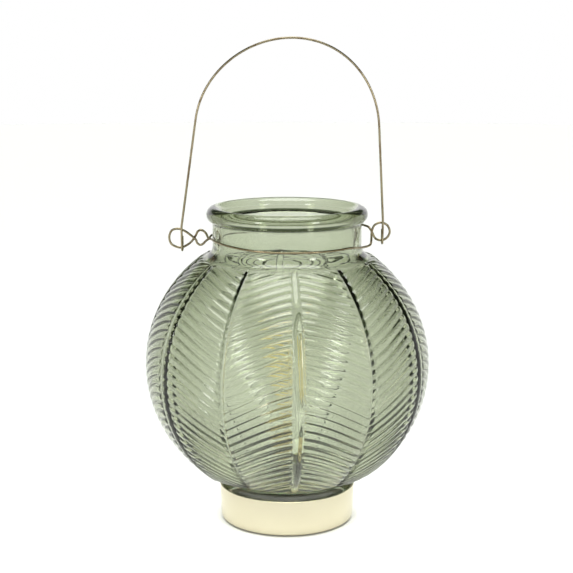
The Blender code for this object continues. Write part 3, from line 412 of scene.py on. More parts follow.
def make_globe():
    turns, spans = globe_turns()
    level = np.ones(len(turns))
    rings = [(level * r, level * z) for r, z in outside_above_leaves()]
    rings += ribbed_rings(spans)
    rings += [(level * r, level * z) for r, z in outside_below_leaves() + inside_of_globe()]
    angles = np.radians(turns + MIDRIB_TURN)
    across, away = np.sin(angles), -np.cos(angles)
    points = [np.stack([r * across, r * away, z], axis=1) for r, z in rings]
    return skinned("glass_globe_pressed", points)


def effect_group(name, inputs, outputs):
    """An empty shader node group with named sockets."""
    group = bpy.data.node_groups.new(name, "ShaderNodeTree")
    for label, kind, value in inputs:
        socket = group.interface.new_socket(label, in_out="INPUT", socket_type=kind)
        if value is not None:
            socket.default_value = value
    for label, kind in outputs:
        group.interface.new_socket(label, in_out="OUTPUT", socket_type=kind)
    return group, group.nodes.new("NodeGroupInput"), group.nodes.new("NodeGroupOutput")


def make_handling_marks():
    """Finger smears and fine dust: broad soft patches with specks in them."""
    inputs = [("Position", "NodeSocketVector", None), ("Patch Scale", "NodeSocketFloat", 60.0),
              ("Speck Scale", "NodeSocketFloat", 1500.0)]
    outputs = [("Smear", "NodeSocketFloat"), ("Speck", "NodeSocketFloat")]
    group, source, sink = effect_group("handling_marks", inputs, outputs)
    position = source.outputs["Position"]
    patches = noise(group, position, source.outputs["Patch Scale"], 4.0, 0.6)
    specks = noise(group, position, source.outputs["Speck Scale"], 1.0)
    group.links.new(span_map(group, patches, 0.45, 0.72), sink.inputs["Smear"])
    group.links.new(span_map(group, specks, 0.68, 0.78), sink.inputs["Speck"])
    return group


handling_marks = make_handling_marks()


def object_position(tree):
    return tree.nodes.new("ShaderNodeTexCoord").outputs["Object"]


def place_group(tree, group, position, **values):
    """Places an effect group, fed with a position and with numbers for its other inputs."""
    node = tree.nodes.new("ShaderNodeGroup")
    node.node_tree = group
    tree.links.new(position, node.inputs["Position"])
    for label, value in values.items():
        node.inputs[label.replace("_", " ")].default_value = value
    return node.outputs


def smeared_gloss(tree, shader, marks, clean, smeared):
    """A roughness that rises from its clean value where the surface is smeared."""
    tree.links.new(span_map(tree, marks["Smear"], 0.0, 1.0, clean, smeared), shader.inputs["Roughness"])


def make_green_glass():
    """Tinted glass with the faint ripple of a pressed surface and a few smears."""
    glass, tree, shader = new_material("green_glass_pressed", (0.97, 0.99, 0.95), 0.02)
    shader.inputs["Transmission Weight"].default_value = 1.0
    shader.inputs["IOR"].default_value = 1.52
    position = object_position(tree)
    marks = place_group(tree, handling_marks, position, Patch_Scale=45.0, Speck_Scale=2200.0)
    smeared_gloss(tree, shader, marks, 0.012, 0.05)
    ripple = noise(tree, position, 130.0, 2.0, 0.45)
    bump(tree, shader, ripple, 0.0004, 0.18)
    tint = tree.nodes.new("ShaderNodeVolumeAbsorption")
    tint.inputs["Color"].default_value = GREEN_TINT
    tint.inputs["Density"].default_value = GREEN_DEPTH
    tree.links.new(tint.outputs["Volume"], tree.nodes["Material Output"].inputs["Volume"])
    return glass


globe = make_globe()
globe.visible_shadow = False  # light passes through it to what stands inside and behind
globe.data.materials.append(make_green_glass())
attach(globe, "lantern_body")
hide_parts("glass_globe")


# ---- Gold cup ----------------------------------------------------------------------------------
# A shallow cup drawn from thin steel, plated pale gold and polished. The glass foot stands
# inside it, and its lip turns in underneath all round to carry the battery tray.

cup_low, cup_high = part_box("base_cup")
CUP_WALL = 0.0007
CUP_EDGE_RADIUS = 0.0012
CUP_RADIUS = 0.03595
CUP_OPENING = 0.03165
CUP_GOLD = (0.655, 0.605, 0.455)
CUP_GOLD_SMEARED = (0.63, 0.575, 0.42)


def turned(name, outline, steps=96, closed=True, centre=(0, 0)):
    """Turns an outline of (radius, height) points about a vertical axis; it runs down its outer side."""
    mesh = bpy.data.meshes.new(name)
    shape = bmesh.new()
    points = [shape.verts.new((radius, 0, z)) for radius, z in outline]
    edges = [shape.edges.new(pair) for pair in zip(points, points[1:])]
    if closed:
        edges.append(shape.edges.new((points[-1], points[0])))
    bmesh.ops.spin(shape, geom=points + edges, axis=(0, 0, 1), cent=(0, 0, 0), steps=steps,
                   angle=2 * math.pi, use_merge=True)
    bmesh.ops.remove_doubles(shape, verts=shape.verts, dist=1e-6)
    bmesh.ops.recalc_face_normals(shape, faces=shape.faces)
    bmesh.ops.translate(shape, verts=shape.verts, vec=(centre[0], centre[1], 0))
    shape.to_mesh(mesh)
    shape.free()
    for face in mesh.polygons:
        face.use_smooth = True
    mesh.set_sharp_from_angle(angle=math.radians(40))
    return link_object(name, mesh)


def drawn_lines(tree, position, squeeze, scale, detail=2.0, roughness=0.5):
    """Noise squeezed in height, which leaves the fine level lines of drawing and rolling."""
    mapping = tree.nodes.new("ShaderNodeMapping")
    feed(tree, mapping, (("Vector", position), ("Scale", (1, 1, squeeze))))
    return noise(tree, mapping.outputs["Vector"], scale, detail, roughness)


def make_pale_gold():
    """Polished plating with drawing lines round it and a few smears."""
    gold, tree, shader = new_material("pale_gold_plate", CUP_GOLD, 0.24, 1.0)
    position = object_position(tree)
    marks = place_group(tree, handling_marks, position, Patch_Scale=70.0, Speck_Scale=1800.0)
    faint_smear = span_map(tree, marks["Smear"], 0.0, 1.0, 0.0, 0.2)
    tone = mix_colour(tree, (*CUP_GOLD, 1), (*CUP_GOLD_SMEARED, 1), faint_smear)
    tree.links.new(tone, shader.inputs["Base Color"])
    smeared_gloss(tree, shader, marks, 0.24, 0.265)
    bump(tree, shader, drawn_lines(tree, position, 30, 120.0, 3.0, 0.6), 0.00002, 0.6)
    return gold


cup_edge = (CUP_RADIUS - CUP_EDGE_RADIUS, cup_low.z + CUP_EDGE_RADIUS)
cup_outline = [(cup_high.x, cup_high.z - 0.0002), (cup_high.x, cup_high.z - 0.0004)]
cup_outline += arc(cup_edge, CUP_EDGE_RADIUS, 0, -90, 10)
cup_outline += [(CUP_OPENING, cup_low.z), (CUP_OPENING, cup_low.z + CUP_WALL)]
cup_outline += arc(cup_edge, CUP_EDGE_RADIUS - CUP_WALL, -90, 0, 6)
cup_outline += [(cup_high.x - CUP_WALL, cup_high.z - 0.0002), (cup_high.x - CUP_WALL / 2, cup_high.z)]
cup = turned("gold_cup", cup_outline, 144)
cup.data.materials.append(make_pale_gold())
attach(cup, "lantern_body")
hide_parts("base_cup")


# ---- Bulb glass --------------------------------------------------------------------------------
# A thin blown bulb of clear soda glass, round above and drawn in to a straight neck. The neck
# is open at its end and cemented in the cap.

bulb_low, bulb_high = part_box("bulb_glass")
BULB_RADIUS = bulb_high.x
BULB_NECK_RADIUS = 0.0084
BULB_WALL = 0.0006
BULB_SHOULDER = -38  # degrees from its middle, where the side leaves the round
BULB_NECK_HEIGHT = 0.0080  # straight above the cap
cap_top_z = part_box("bulb_cap")[1].z
bulb_middle_z = bulb_high.z - BULB_RADIUS


def bulb_side(wall, count):
    """(radius, height) points down the bulb's side, from its crown to the end of its neck."""
    radius, neck = BULB_RADIUS - wall, BULB_NECK_RADIUS - wall
    leave = math.radians(BULB_SHOULDER)
    points = arc((0, bulb_middle_z), radius, 90, BULB_SHOULDER, count)
    points[0] = (0, bulb_middle_z + radius)
    shoulder_r, shoulder_z = points[-1]
    corner = (neck, shoulder_z - (shoulder_r - neck) / math.tan(-leave) ** 2 * 0.78)
    points += bend(points[-1], corner, (neck, cap_top_z + BULB_NECK_HEIGHT), 10)[1:]
    points.append((neck, bulb_low.z))
    return points


def make_clear_glass():
    clear, tree, shader = new_material("clear_bulb_glass", (0.99, 0.99, 0.98), 0.01)
    shader.inputs["Transmission Weight"].default_value = 1.0
    shader.inputs["IOR"].default_value = 1.48
    position = object_position(tree)
    marks = place_group(tree, handling_marks, position, Patch_Scale=60.0, Speck_Scale=2500.0)
    smeared_gloss(tree, shader, marks, 0.005, 0.03)
    bump(tree, shader, noise(tree, position, 90.0, 1.0), 0.0002, 0.3)
    return clear


clear_glass = make_clear_glass()
bulb_outline = bulb_side(0, 28) + list(reversed(bulb_side(BULB_WALL, 28)))
bulb = turned("bulb_envelope", bulb_outline, 96, closed=False)
bulb.data.materials.append(clear_glass)
bulb.visible_shadow = False
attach(bulb, "lantern_body")
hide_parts("bulb_glass")


# ---- Black plastic mouldings -------------------------------------------------------------------
# The battery tray, its hatch, the switch knob, the plate over the tray and the lamp holder are
# moulded in black ABS with a fine spark-eroded grain. The chip and the bulb's insulator match.


def speck_share(tree, marks, most):
    """How much the specks show, at most."""
    return span_map(tree, marks["Speck"], 0.0, 1.0, 0.0, most)


def moulded_plastic(name, colour, worn, grain_scale):
    """Moulded plastic with a fine grain, dust that settles in patches, and paler rubbed places."""
    plastic, tree, shader = new_material(name, colour, 0.42)
    position = object_position(tree)
    marks = place_group(tree, handling_marks, position, Patch_Scale=90.0, Speck_Scale=1400.0)
    rubbed = span_map(tree, marks["Smear"], 0.0, 1.0, 0.0, 0.5)
    tone = mix_colour(tree, (*colour, 1), (*worn, 1), rubbed)
    dusty = mix_colour(tree, tone, (0.35, 0.34, 0.31, 1), speck_share(tree, marks, 0.35))
    tree.links.new(dusty, shader.inputs["Base Color"])
    smeared_gloss(tree, shader, marks, 0.38, 0.58)
    bump(tree, shader, noise(tree, position, grain_scale, 2.0), 0.00004, 0.7)
    return plastic


def wears(finish, *names):
    """Gives CAD nodes their finish."""
    for name in names:
        for slot in cad[name].material_slots:
            slot.material = finish


black_plastic = moulded_plastic("black_abs", (0.022, 0.022, 0.021), (0.055, 0.054, 0.050), 2600.0)
wears(black_plastic, "chassis", "battery_cover", "switch_knob", "timer_chip", "bulb_insulator")

plate_low, plate_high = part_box("bulb_plate")
PLATE_THICKNESS = 0.0008
PLATE_HUB_RADIUS = 0.0215
PLATE_HOLE_RADIUS = 0.0070
PLATE_RIM = 0.0046
rim_radius = plate_high.x
plate_outline = [(PLATE_HOLE_RADIUS, plate_high.z), (PLATE_HUB_RADIUS - 0.0006, plate_high.z)]
plate_outline += [(PLATE_HUB_RADIUS, plate_high.z - 0.0003)]
plate_outline += [(rim_radius - PLATE_RIM - 0.0004, plate_low.z + PLATE_THICKNESS + 0.0002)]
plate_outline += [(rim_radius - PLATE_RIM, plate_low.z + PLATE_THICKNESS)]
plate_outline += [(rim_radius - 0.0003, plate_low.z + PLATE_THICKNESS)]
plate_outline += [(rim_radius, plate_low.z + PLATE_THICKNESS - 0.0003)]
plate_outline += [(rim_radius, plate_low.z), (rim_radius - PLATE_RIM - 0.0003, plate_low.z)]
plate_outline += [(PLATE_HUB_RADIUS - 0.0003, plate_high.z - PLATE_THICKNESS)]
plate_outline += [(PLATE_HOLE_RADIUS, plate_high.z - PLATE_THICKNESS)]
plate = turned("lamp_plate", plate_outline, 96)
plate.data.materials.append(black_plastic)
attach(plate, "lantern_body")
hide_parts("bulb_plate")

socket_low, socket_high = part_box("lamp_socket")
SOCKET_RADIUS = 0.0105
SOCKET_BORE = 0.0072
SOCKET_WIRE_HOLE = 0.0024
SOCKET_FLANGE = 0.0012
SOCKET_FLUTES = 24
FLUTE_DEPTH = 0.00035


def make_lamp_holder():
    """The holder's body is fluted for grip, above a plain flange."""
    low, high = socket_low.z, socket_high.z
    flange_top = low + SOCKET_FLANGE
    outline = [(SOCKET_BORE, high), (SOCKET_RADIUS - 0.0008, high), (SOCKET_RADIUS - 0.0002, high - 0.0003)]
    outline += [(SOCKET_RADIUS, high - 0.0009), (SOCKET_RADIUS, high - 0.0020)]
    outline += [(SOCKET_RADIUS, low + 0.0032), (SOCKET_RADIUS, low + 0.0021)]
    outline += [(SOCKET_RADIUS + 0.0003, flange_top), (socket_high.x - 0.0003, flange_top)]
    outline += [(socket_high.x, flange_top - 0.0003), (socket_high.x, low), (SOCKET_WIRE_HOLE, low)]
    outline += [(SOCKET_WIRE_HOLE, flange_top), (SOCKET_BORE, flange_top)]
    holder = turned("lamp_holder", outline, 144)
    for vert in holder.data.vertices:
        reach = math.hypot(vert.co.x, vert.co.y)
        if abs(reach - SOCKET_RADIUS) < 1e-5 and low + 0.0030 < vert.co.z < high - 0.0015:
            turn = math.atan2(vert.co.y, vert.co.x)
            dip = FLUTE_DEPTH * (0.5 - 0.5 * math.cos(SOCKET_FLUTES * turn))
            vert.co.x *= (reach - dip) / reach
            vert.co.y *= (reach - dip) / reach
    return holder


holder = make_lamp_holder()
holder.data.materials.append(black_plastic)
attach(holder, "lantern_body")
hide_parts("lamp_socket")


# ---- Bright nickel hardware --------------------------------------------------------------------
# Screws, springs, contact leaves, the switch's case and the bulb's small stampings are steel or
# brass plated with nickel, drawn or rolled, so faint lines run along them.


def plated_metal(name, colour, worn, roughness, line_scale):
    """Plated metal with rolling lines, smears, and duller spots where the plating has aged."""
    metal, tree, shader = new_material(name, colour, roughness, 1.0)
    position = object_position(tree)
    marks = place_group(tree, handling_marks, position, Patch_Scale=160.0, Speck_Scale=1900.0)
    smeared = mix_colour(tree, (*colour, 1), (*worn, 1), marks["Smear"])
    spot = (*[c * 0.45 for c in worn], 1)
    spotted = mix_colour(tree, smeared, spot, speck_share(tree, marks, 0.5))
    tree.links.new(spotted, shader.inputs["Base Color"])
    smeared_gloss(tree, shader, marks, roughness * 0.8, roughness * 1.5)
    bump(tree, shader, drawn_lines(tree, position, 14, line_scale), 0.00001, 0.6)
    return metal


nickel = plated_metal("bright_nickel", (0.72, 0.71, 0.68), (0.58, 0.56, 0.51), 0.24, 500.0)
wears(nickel, "cover_screw", "plate_screw_1", "plate_screw_2", "switch_body", "socket_contact",
      "bulb_contact", "filament_mast", "filament_star_lower", "filament_star_upper")
wears(nickel, *[f"battery_spring_{n}" for n in (1, 2, 3)], *[f"contact_plate_{n}" for n in (1, 2, 3, 4)])


# ---- Cells -------------------------------------------------------------------------------------
# Three AAA cells in printed shrink sleeves: dark teal with a pale gold band by the positive end,
# and bare nickel caps at both ends. They lie across the tray, turned end for end in turn.

BAND_START = 0.0105  # from the cell's middle towards its positive end
POSITIVE_CAP = 0.0222
NEGATIVE_CAP = -0.0212


def maths(tree, operation, first, second=0.0):
    """A Math node. Each value is a number or another node's output."""
    node = tree.nodes.new("ShaderNodeMath")
    node.operation = operation
    feed(tree, node, ((0, first), (1, second)))
    return node.outputs["Value"]


def make_cell_finish(name, side):
    """The sleeve's colours follow the length of the cell; its ends are bare metal."""
    finish, tree, shader = new_material(name, (0.03, 0.12, 0.16), 0.3)
    position = object_position(tree)
    along = maths(tree, "MULTIPLY", axis_of(tree, position, "X"), side)
    band = maths(tree, "GREATER_THAN", along, BAND_START)
    metal = maths(tree, "ADD", maths(tree, "GREATER_THAN", along, POSITIVE_CAP),
                  maths(tree, "LESS_THAN", along, NEGATIVE_CAP))
    marks = place_group(tree, handling_marks, position, Patch_Scale=120.0, Speck_Scale=1500.0)
    sleeve = mix_colour(tree, (0.025, 0.11, 0.15, 1), (0.05, 0.16, 0.20, 1), marks["Smear"])
    printed = mix_colour(tree, sleeve, (0.62, 0.50, 0.22, 1), band)
    tree.links.new(mix_colour(tree, printed, (0.68, 0.67, 0.64, 1), metal), shader.inputs["Base Color"])
    tree.links.new(metal, shader.inputs["Metallic"])
    smeared_gloss(tree, shader, marks, 0.25, 0.42)
    bump(tree, shader, noise(tree, position, 400.0, 2.0), 0.00003, 0.4)
    return finish


for number, side in ((1, 1), (2, -1), (3, 1)):
    wears(make_cell_finish(f"cell_sleeve_{number}", side), f"battery_{number}")


# ---- Board, resistor and leads -----------------------------------------------------------------
# A small fibreglass board under green solder mask with copper tracks showing through, a banded
# resistor, and stranded leads in red and black PVC.


def make_board_finish():
    board, tree, shader = new_material("green_board", (0.02, 0.17, 0.07), 0.35)
    position = object_position(tree)
    brick = tree.nodes.new("ShaderNodeTexBrick")
    feed(tree, brick, (("Vector", position), ("Scale", 220.0), ("Mortar Size", 0.06),
                       ("Brick Width", 0.9), ("Row Height", 0.35)))
    tracks = mix_colour(tree, (0.015, 0.13, 0.05, 1), (0.03, 0.22, 0.09, 1), brick.outputs["Fac"])
    marks = place_group(tree, handling_marks, position, Patch_Scale=200.0, Speck_Scale=1200.0)
    faint_smear = span_map(tree, marks["Smear"], 0.0, 1.0, 0.0, 0.3)
    flux = mix_colour(tree, tracks, (0.20, 0.22, 0.10, 1), faint_smear)
    tree.links.new(flux, shader.inputs["Base Color"])
    smeared_gloss(tree, shader, marks, 0.28, 0.5)
    bump(tree, shader, brick.outputs["Fac"], 0.00004, 0.8)
    return board


def make_resistor_finish():
    body, tree, shader = new_material("resistor_lacquer", (0.55, 0.42, 0.25), 0.35)
    position = object_position(tree)
    wave = maths(tree, "SINE", maths(tree, "MULTIPLY", axis_of(tree, position, "Y"), 7000.0))
    bands = maths(tree, "GREATER_THAN", wave, 0.55)
    marks = place_group(tree, handling_marks, position, Patch_Scale=300.0, Speck_Scale=3000.0)
    lacquer = mix_colour(tree, (0.55, 0.42, 0.25, 1), (0.48, 0.35, 0.20, 1), marks["Smear"])
    tree.links.new(mix_colour(tree, lacquer, (0.30, 0.05, 0.03, 1), bands), shader.inputs["Base Color"])
    bump(tree, shader, noise(tree, position, 900.0), 0.00003, 0.5)
    return body


def make_sleeving(name, colour):
    """Extruded PVC: a slight drag along it and a satin face."""
    sleeving, tree, shader = new_material(name, colour, 0.4)
    position = object_position(tree)
    marks = place_group(tree, handling_marks, position, Patch_Scale=250.0, Speck_Scale=2000.0)
    pale = tuple(min(1.0, c * 1.4 + 0.02) for c in colour)
    tone = mix_colour(tree, (*colour, 1), (*pale, 1), marks["Smear"])
    tree.links.new(tone, shader.inputs["Base Color"])
    smeared_gloss(tree, shader, marks, 0.34, 0.5)
    bump(tree, shader, noise(tree, position, 1600.0), 0.00003, 0.5)
    return sleeving


wears(make_board_finish(), "circuit_board")
wears(make_resistor_finish(), "resistor")
wears(make_sleeving("red_pvc", (0.42, 0.025, 0.018)), "battery_lead_plus", "lamp_lead_plus")
wears(make_sleeving("black_pvc", (0.025, 0.025, 0.025)), "battery_lead_minus", "lamp_lead_minus")


# ---- Rubber feet and silicone ring -------------------------------------------------------------
# Four grey rubber buttons with rounded lower edges, glued in the tray's recesses, and a ring of
# translucent silicone that the glass sits on.

PAD_EDGE = 0.0005


def make_rubber():
    rubber, tree, shader = new_material("grey_rubber", (0.13, 0.13, 0.128), 0.8)
    position = object_position(tree)
    marks = place_group(tree, handling_marks, position, Patch_Scale=350.0, Speck_Scale=1800.0)
    worn = mix_colour(tree, (0.13, 0.13, 0.128, 1), (0.20, 0.195, 0.185, 1), marks["Smear"])
    dusty = mix_colour(tree, worn, (0.42, 0.41, 0.38, 1), speck_share(tree, marks, 0.5))
    tree.links.new(dusty, shader.inputs["Base Color"])
    smeared_gloss(tree, shader, marks, 0.7, 0.9)
    bump(tree, shader, noise(tree, position, 1800.0, 3.0), 0.00008, 0.8)
    return rubber


def make_silicone():
    ring, tree, shader = new_material("clear_silicone", (0.60, 0.63, 0.57), 0.45)
    shader.inputs["Subsurface Weight"].default_value = 0.3
    shader.inputs["Subsurface Scale"].default_value = 0.001
    position = object_position(tree)
    marks = place_group(tree, handling_marks, position, Patch_Scale=150.0, Speck_Scale=1500.0)
    cloudy = mix_colour(tree, (0.60, 0.63, 0.57, 1), (0.48, 0.50, 0.44, 1), marks["Smear"])
    tree.links.new(cloudy, shader.inputs["Base Color"])
    smeared_gloss(tree, shader, marks, 0.35, 0.6)
    bump(tree, shader, noise(tree, position, 600.0, 2.0), 0.00005, 0.6)
    return ring


rubber = make_rubber()
for number in (1, 2, 3, 4):
    low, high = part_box(f"foot_{number}")
    middle = (low + high) / 2
    wide = (high.x - low.x) / 2
    outline = [(0, high.z), (wide, high.z)]
    outline += arc((wide - PAD_EDGE, low.z + PAD_EDGE), PAD_EDGE, 0, -90, 5) + [(0, low.z)]
    pad = turned(f"rubber_foot_{number}", outline, 40, closed=False, centre=(middle.x, middle.y))
    pad.data.materials.append(rubber)
    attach(pad, "lantern_body")
    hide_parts(f"foot_{number}")
wears(make_silicone(), "glass_gasket")


# ---- Bulb cap ----------------------------------------------------------------------------------
# Thin brass-plated aluminium, rolled to a coarse screw thread that fits the lamp holder, with a
# plain collar above it round the bulb's neck, where it is cemented to the glass.

shell_low, shell_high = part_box("bulb_cap")
CAP_RADIUS = 0.0069
CAP_WALL = 0.0004
THREAD_DEPTH = 0.0005
THREAD_PITCH = 0.0028
THREAD_START = 0.0024
THREAD_LENGTH = 0.0138
THREAD_FADE = 0.0015


def make_cap():
    """Rings of points whose radius follows the thread's helix, and a plain inside."""
    steps, levels = 96, 72
    low, high = shell_low.z, shell_high.z
    root = CAP_RADIUS - THREAD_DEPTH
    share = np.arange(steps) / steps
    across, away = np.cos(2 * math.pi * share), np.sin(2 * math.pi * share)
    level = np.ones(steps)
    rings = []
    for z in np.linspace(high, low, levels + 1):
        wave = 0.5 + 0.5 * np.cos(2 * math.pi * ((z - low) / THREAD_PITCH - share))
        climb = z - low - THREAD_START
        depth = THREAD_DEPTH * ease(0.0, THREAD_FADE, climb)
        depth *= ease(0.0, THREAD_FADE, THREAD_START + THREAD_LENGTH + low - z)
        radius = root + depth * ease(0.15, 0.85, wave)
        rings.append(np.stack([radius * across, radius * away, level * z], axis=1))
    inner = root - CAP_WALL
    for z in (low, high):
        rings.append(np.stack([inner * across, inner * away, level * z], axis=1))
    threaded = skinned("bulb_cap_threaded", rings)
    threaded.data.set_sharp_from_angle(angle=math.radians(60))
    return threaded


cap = make_cap()
cap.data.materials.append(plated_metal("cap_brass", (0.80, 0.68, 0.42), (0.62, 0.50, 0.30), 0.22, 700.0))
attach(cap, "lantern_body")
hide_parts("bulb_cap")


# ---- Stem and filaments ------------------------------------------------------------------------
# A drawn glass stem carries the works of the bulb. Four LED filaments stand round a wire mast
# between two stamped stars; each is a ceramic stick in amber phosphor with a bare metal end.

FILAMENT_RADIUS = 0.0009
FILAMENT_TAB = 0.0016
filament_low, filament_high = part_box("led_filament_1")


def make_phosphor():
    """Amber silicone over tiny chips: a fine lumpy coat, bare metal at both ends."""
    coat, tree, shader = new_material("amber_phosphor", (0.82, 0.60, 0.16), 0.45)
    position = object_position(tree)
    height = axis_of(tree, position, "Z")
    chips = maths(tree, "SINE", maths(tree, "MULTIPLY", height, 5200.0))
    lumps = noise(tree, position, 900.0, 2.0)
    amber = mix_colour(tree, (0.88, 0.76, 0.36, 1), (0.80, 0.64, 0.24, 1), lumps)
    ends = maths(tree, "ADD", maths(tree, "LESS_THAN", height, filament_low.z + FILAMENT_TAB),
                 maths(tree, "GREATER_THAN", height, filament_high.z - FILAMENT_TAB))
    tree.links.new(mix_colour(tree, amber, (0.66, 0.65, 0.62, 1), ends), shader.inputs["Base Color"])
    tree.links.new(ends, shader.inputs["Metallic"])
    tree.links.new(span_map(tree, lumps, 0.3, 0.7, 0.38, 0.55), shader.inputs["Roughness"])
    bump(tree, shader, chips, 0.00004, 0.6)
    return coat


def stick_outline(length):
    """A rod's outline from its top down, with a low dome at each end."""
    dome = FILAMENT_RADIUS / 2
    top = [(0, length)]
    for degrees in (60, 45, 30, 15, 0):
        a = math.radians(degrees)
        top.append((FILAMENT_RADIUS * math.cos(a), length - dome + dome * math.sin(a)))
    return top + [(r, length - z) for r, z in reversed(top)]


wears(clear_glass, "bulb_stem")
phosphor = make_phosphor()
for number in (1, 2, 3, 4):
    low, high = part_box(f"led_filament_{number}")
    points = np.array([v.co for v in cad[f"led_filament_{number}"].data.vertices])
    foot = Vector(points[points[:, 2] < low.z + 0.001].mean(axis=0))
    top = Vector(points[points[:, 2] > high.z - 0.001].mean(axis=0))
    stick = turned(f"filament_{number}", stick_outline((top - foot).length), 28, closed=False)
    stick.data.transform((top - foot).to_track_quat("Z", "Y").to_matrix().to_4x4())
    stick.data.transform(Matrix.Translation(foot))
    stick.data.materials.append(phosphor)
    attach(stick, "lantern_body")
    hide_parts(f"led_filament_{number}")


# ---- Neck wire ---------------------------------------------------------------------------------
# One length of brass-plated steel wire, bent by hand round the neck under the bead. On the left it
# twists once and opens into a bight, on the right it turns a single eye, and its ends are welded.

WIRE_RADIUS = 0.0006
RING_LIFT_LEFT = 0.0020
RING_LIFT_BACK = 0.0073
RING_GAP = 0.0003
RING_HEIGHT = 0.0056  # above the neck's root
EYE_RADIUS = 0.0048
EYE_OUT = 0.0092
EYE_UP = 0.0050
BIGHT_RADIUS = 0.0050
BIGHT_OUT = 0.0171
BIGHT_UP = 0.0015
STRETCH_PIECES = 6

ring_radius = NECK_RADIUS + RING_GAP + WIRE_RADIUS
ring_z = neck_root_z + RING_HEIGHT
eye = Vector((ring_radius + EYE_OUT, 0, ring_z + EYE_UP))
bight = Vector((-ring_radius - BIGHT_OUT, 0, ring_z + BIGHT_UP))


def smooth_path(stations, pieces):
    """A Catmull-Rom curve through the stations, each stretch cut into the same number of pieces."""
    stations = [Vector(place) for place in stations]
    ends = [2 * stations[0] - stations[1]] + stations + [2 * stations[-1] - stations[-2]]
    points = []
    for a, b, c, d in zip(ends, ends[1:], ends[2:], ends[3:]):
        for i in range(pieces):
            t = i / pieces
            points.append(0.5 * (2 * b + (c - a) * t + (2 * a - 5 * b + 4 * c - d) * t * t
                                 + (3 * b - a - 3 * c + d) * t * t * t))
    points.append(stations[-1])
    return points


def on_ring(degrees, lift=0.0):
    """A point of the ring round the neck, its angle from the front towards +X."""
    angle = math.radians(degrees)
    return Vector((ring_radius * math.sin(angle), -ring_radius * math.cos(angle), ring_z + lift))


def left_ear_route():
    """In from the back of the neck, through the twist, round the open bight and back to the front."""
    r, z = BIGHT_RADIUS, bight.z
    return [
        on_ring(-108, RING_LIFT_LEFT),
        (-ring_radius - 0.0001, 0.0074, z + 0.0002),
        (-ring_radius - 0.0014, 0.0030, z - 0.0006),
        (-ring_radius - 0.0026, 0.0018, z + 0.0020),
        (-ring_radius - 0.0040, 0.0015, z + 0.0035),
        (-ring_radius - 0.0056, 0.0013, z + 0.0040),
        (-ring_radius - 0.0071, 0.0012, z + 0.0031),
        (bight.x + 0.0088, 0.0011, z + 0.0008),
        (bight.x + 0.0062, 0.0009, z - 0.0026),
        (bight.x + 0.0022, 0.0006, z - r),
        (bight.x - 0.0008, 0.0006, z - r),
        (bight.x - 0.0040, 0.0004, z - 0.0032),
        (bight.x - r, 0.0000, z + 0.0004),
        (bight.x - 0.0036, -0.0003, z + 0.0040),
        (bight.x, -0.0006, z + r),
        (bight.x + 0.0040, -0.0007, z + 0.0034),
        (bight.x + 0.0088, -0.0010, z - 0.0004),
        (-ring_radius - 0.0072, -0.0011, z - 0.0026),
        (-ring_radius - 0.0056, -0.0013, z - 0.0035),
        (-ring_radius - 0.0041, -0.0017, z - 0.0029),
        (-ring_radius - 0.0027, -0.0023, z - 0.0014),
        (-ring_radius - 0.0008, -0.0050, z + 0.0002),
        on_ring(-78, RING_LIFT_LEFT),
        on_ring(-70, RING_LIFT_LEFT),
    ]


def right_ear_route():
    """Off the front of the neck, up the eye's near side and once round it, and back behind the neck."""
    r = EYE_RADIUS
    return [
        on_ring(58, -0.0004),
        on_ring(66, -0.0012),
        (ring_radius + 0.0006, -0.0092, ring_z - 0.0018),
        (eye.x - r - 0.0010, -0.0052, ring_z - 0.0014),
        (eye.x - r - 0.0003, -0.0032, ring_z + 0.0008),
        (eye.x - r, -0.0016, eye.z),
        (eye.x - 0.0034, -0.0011, eye.z + 0.0034),
        (eye.x, -0.0007, eye.z + r),
        (eye.x + 0.0034, -0.0004, eye.z + 0.0034),
        (eye.x + r, -0.0001, eye.z),
        (eye.x + 0.0037, 0.0003, eye.z - 0.0031),
        (eye.x + 0.0009, 0.0006, eye.z - r),
        (eye.x - 0.0026, 0.0009, eye.z - 0.0040),
        (eye.x - r + 0.0002, 0.0015, eye.z - 0.0004),
        (eye.x - r - 0.0014, 0.0034, eye.z + 0.0018),
        (ring_radius + 0.0006, 0.0085, ring_z + 0.0071),
        on_ring(110, RING_LIFT_BACK),
    ]


def neck_wire_route():
    """The left ear, the front of the ring, the right ear, and the back of the ring, as one loop."""
    front = [on_ring(degrees, RING_LIFT_LEFT * ease(0, 75, -degrees)) for degrees in range(-62, 51, 8)]
    drop = RING_LIFT_BACK - RING_LIFT_LEFT
    back = [on_ring(118 + 8 * i, RING_LIFT_BACK - drop * i / 16) for i in range(17)]
    stations = left_ear_route() + front + right_ear_route() + back
    points = smooth_path(stations[-2:] + stations + stations[:2], STRETCH_PIECES)
    return points[2 * STRETCH_PIECES:-2 * STRETCH_PIECES]


def round_wire(name, points, radius, looped=False):
    """A drawn round wire along a list of points."""
    curve = bpy.data.curves.new(name, "CURVE")
    curve.dimensions = "3D"
    curve.bevel_depth = radius
    curve.bevel_resolution = 4
    curve.use_fill_caps = True
    spline = curve.splines.new("POLY")
    spline.points.add(len(points) - 1)
    for spot, place in zip(spline.points, points):
        spot.co = (*place, 1.0)
    spline.use_cyclic_u = looped
    return link_object(name, curve)


brass_wire = plated_metal("drawn_brass_wire", (0.30, 0.255, 0.165), (0.17, 0.125, 0.075), 0.24, 900.0)
neck_wire = round_wire("neck_wire_drawn", neck_wire_route(), WIRE_RADIUS, looped=True)
neck_wire.data.materials.append(brass_wire)
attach(neck_wire, "lantern_body")
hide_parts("neck_wire")


# ---- Bail --------------------------------------------------------------------------------------
# The same brass-plated wire: a round arch on two straight legs. Each leg ends in a J-shaped hook
# that goes down in front of its ear, round under it and up behind, so the bail swings in the ears.

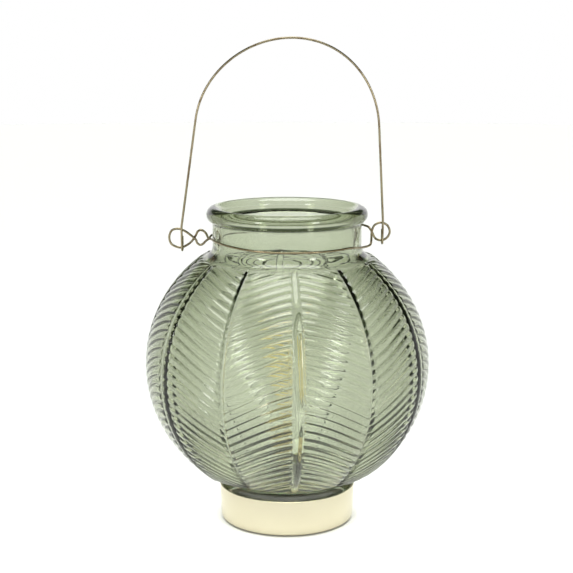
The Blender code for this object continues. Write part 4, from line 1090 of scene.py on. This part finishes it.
BAIL_ARCH_RADIUS = 0.0480
BAIL_ARCH_HEIGHT = 0.0615  # its centre, above the left hook
BAIL_IN_FRONT = 0.0028
BAIL_LEAN = 0.0025
HOOK_RADIUS = 0.0017
HOOK_TAIL = 0.0056
hook_right = Vector((eye.x + 0.0009, 0.0006, eye.z - EYE_RADIUS))
hook_left = Vector((bight.x + 0.0018, 0.0006, bight.z - BIGHT_RADIUS))


def hook_points(foot):
    """Down in front of the ear's wire, round under it, and up behind to the tail's end."""
    back = foot.y + HOOK_RADIUS
    points = [
        Vector((foot.x, -BAIL_IN_FRONT, foot.z + 0.0115)),
        Vector((foot.x, 0.0002 - BAIL_IN_FRONT, foot.z + 0.0070)),
        Vector((foot.x, foot.y - HOOK_RADIUS - 0.0003, foot.z + 0.0026)),
    ]
    for i in range(13):
        angle = math.radians(180 + 15 * i)
        points.append(foot + Vector((0, math.cos(angle), math.sin(angle))) * HOOK_RADIUS)
    points.append(Vector((foot.x, back + 0.0001, foot.z + HOOK_TAIL / 2)))
    points.append(Vector((foot.x, back + 0.0004, foot.z + HOOK_TAIL)))
    return points


def touch_angle(foot, centre, side):
    """Where on the arch's circle the straight leg from a foot meets it, in degrees."""
    to_centre = centre - foot
    swing = math.asin(BAIL_ARCH_RADIUS / to_centre.length)
    leg = math.atan2(to_centre.y, to_centre.x) + side * swing
    return math.degrees(leg + side * math.pi / 2)


def bail_route():
    """From the left tail, over the arch, which leans a little to the right, to the right tail."""
    left, right = hook_points(hook_left), hook_points(hook_right)
    centre = Vector((0, hook_left.z + BAIL_ARCH_HEIGHT))
    start = touch_angle(Vector((left[0].x, left[0].z)), centre, 1)
    end = touch_angle(Vector((right[0].x, right[0].z)), centre, -1)
    arch = []
    for x, z in arc(centre, BAIL_ARCH_RADIUS, start, end, 80):
        rise = (z - centre.y) / BAIL_ARCH_RADIUS
        arch.append(Vector((x + BAIL_LEAN * rise * rise, -BAIL_IN_FRONT, z)))
    left_leg = [left[0].lerp(arch[0], i / 8) for i in range(1, 8)]
    right_leg = [arch[-1].lerp(right[0], i / 8) for i in range(1, 8)]
    return list(reversed(smooth_path(left, 3))) + left_leg + arch + right_leg + smooth_path(right, 3)


bail = round_wire("bail_drawn", bail_route(), WIRE_RADIUS)
bail.data.materials.append(brass_wire)
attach(bail, "bail_handle")
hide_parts("bail_handle")
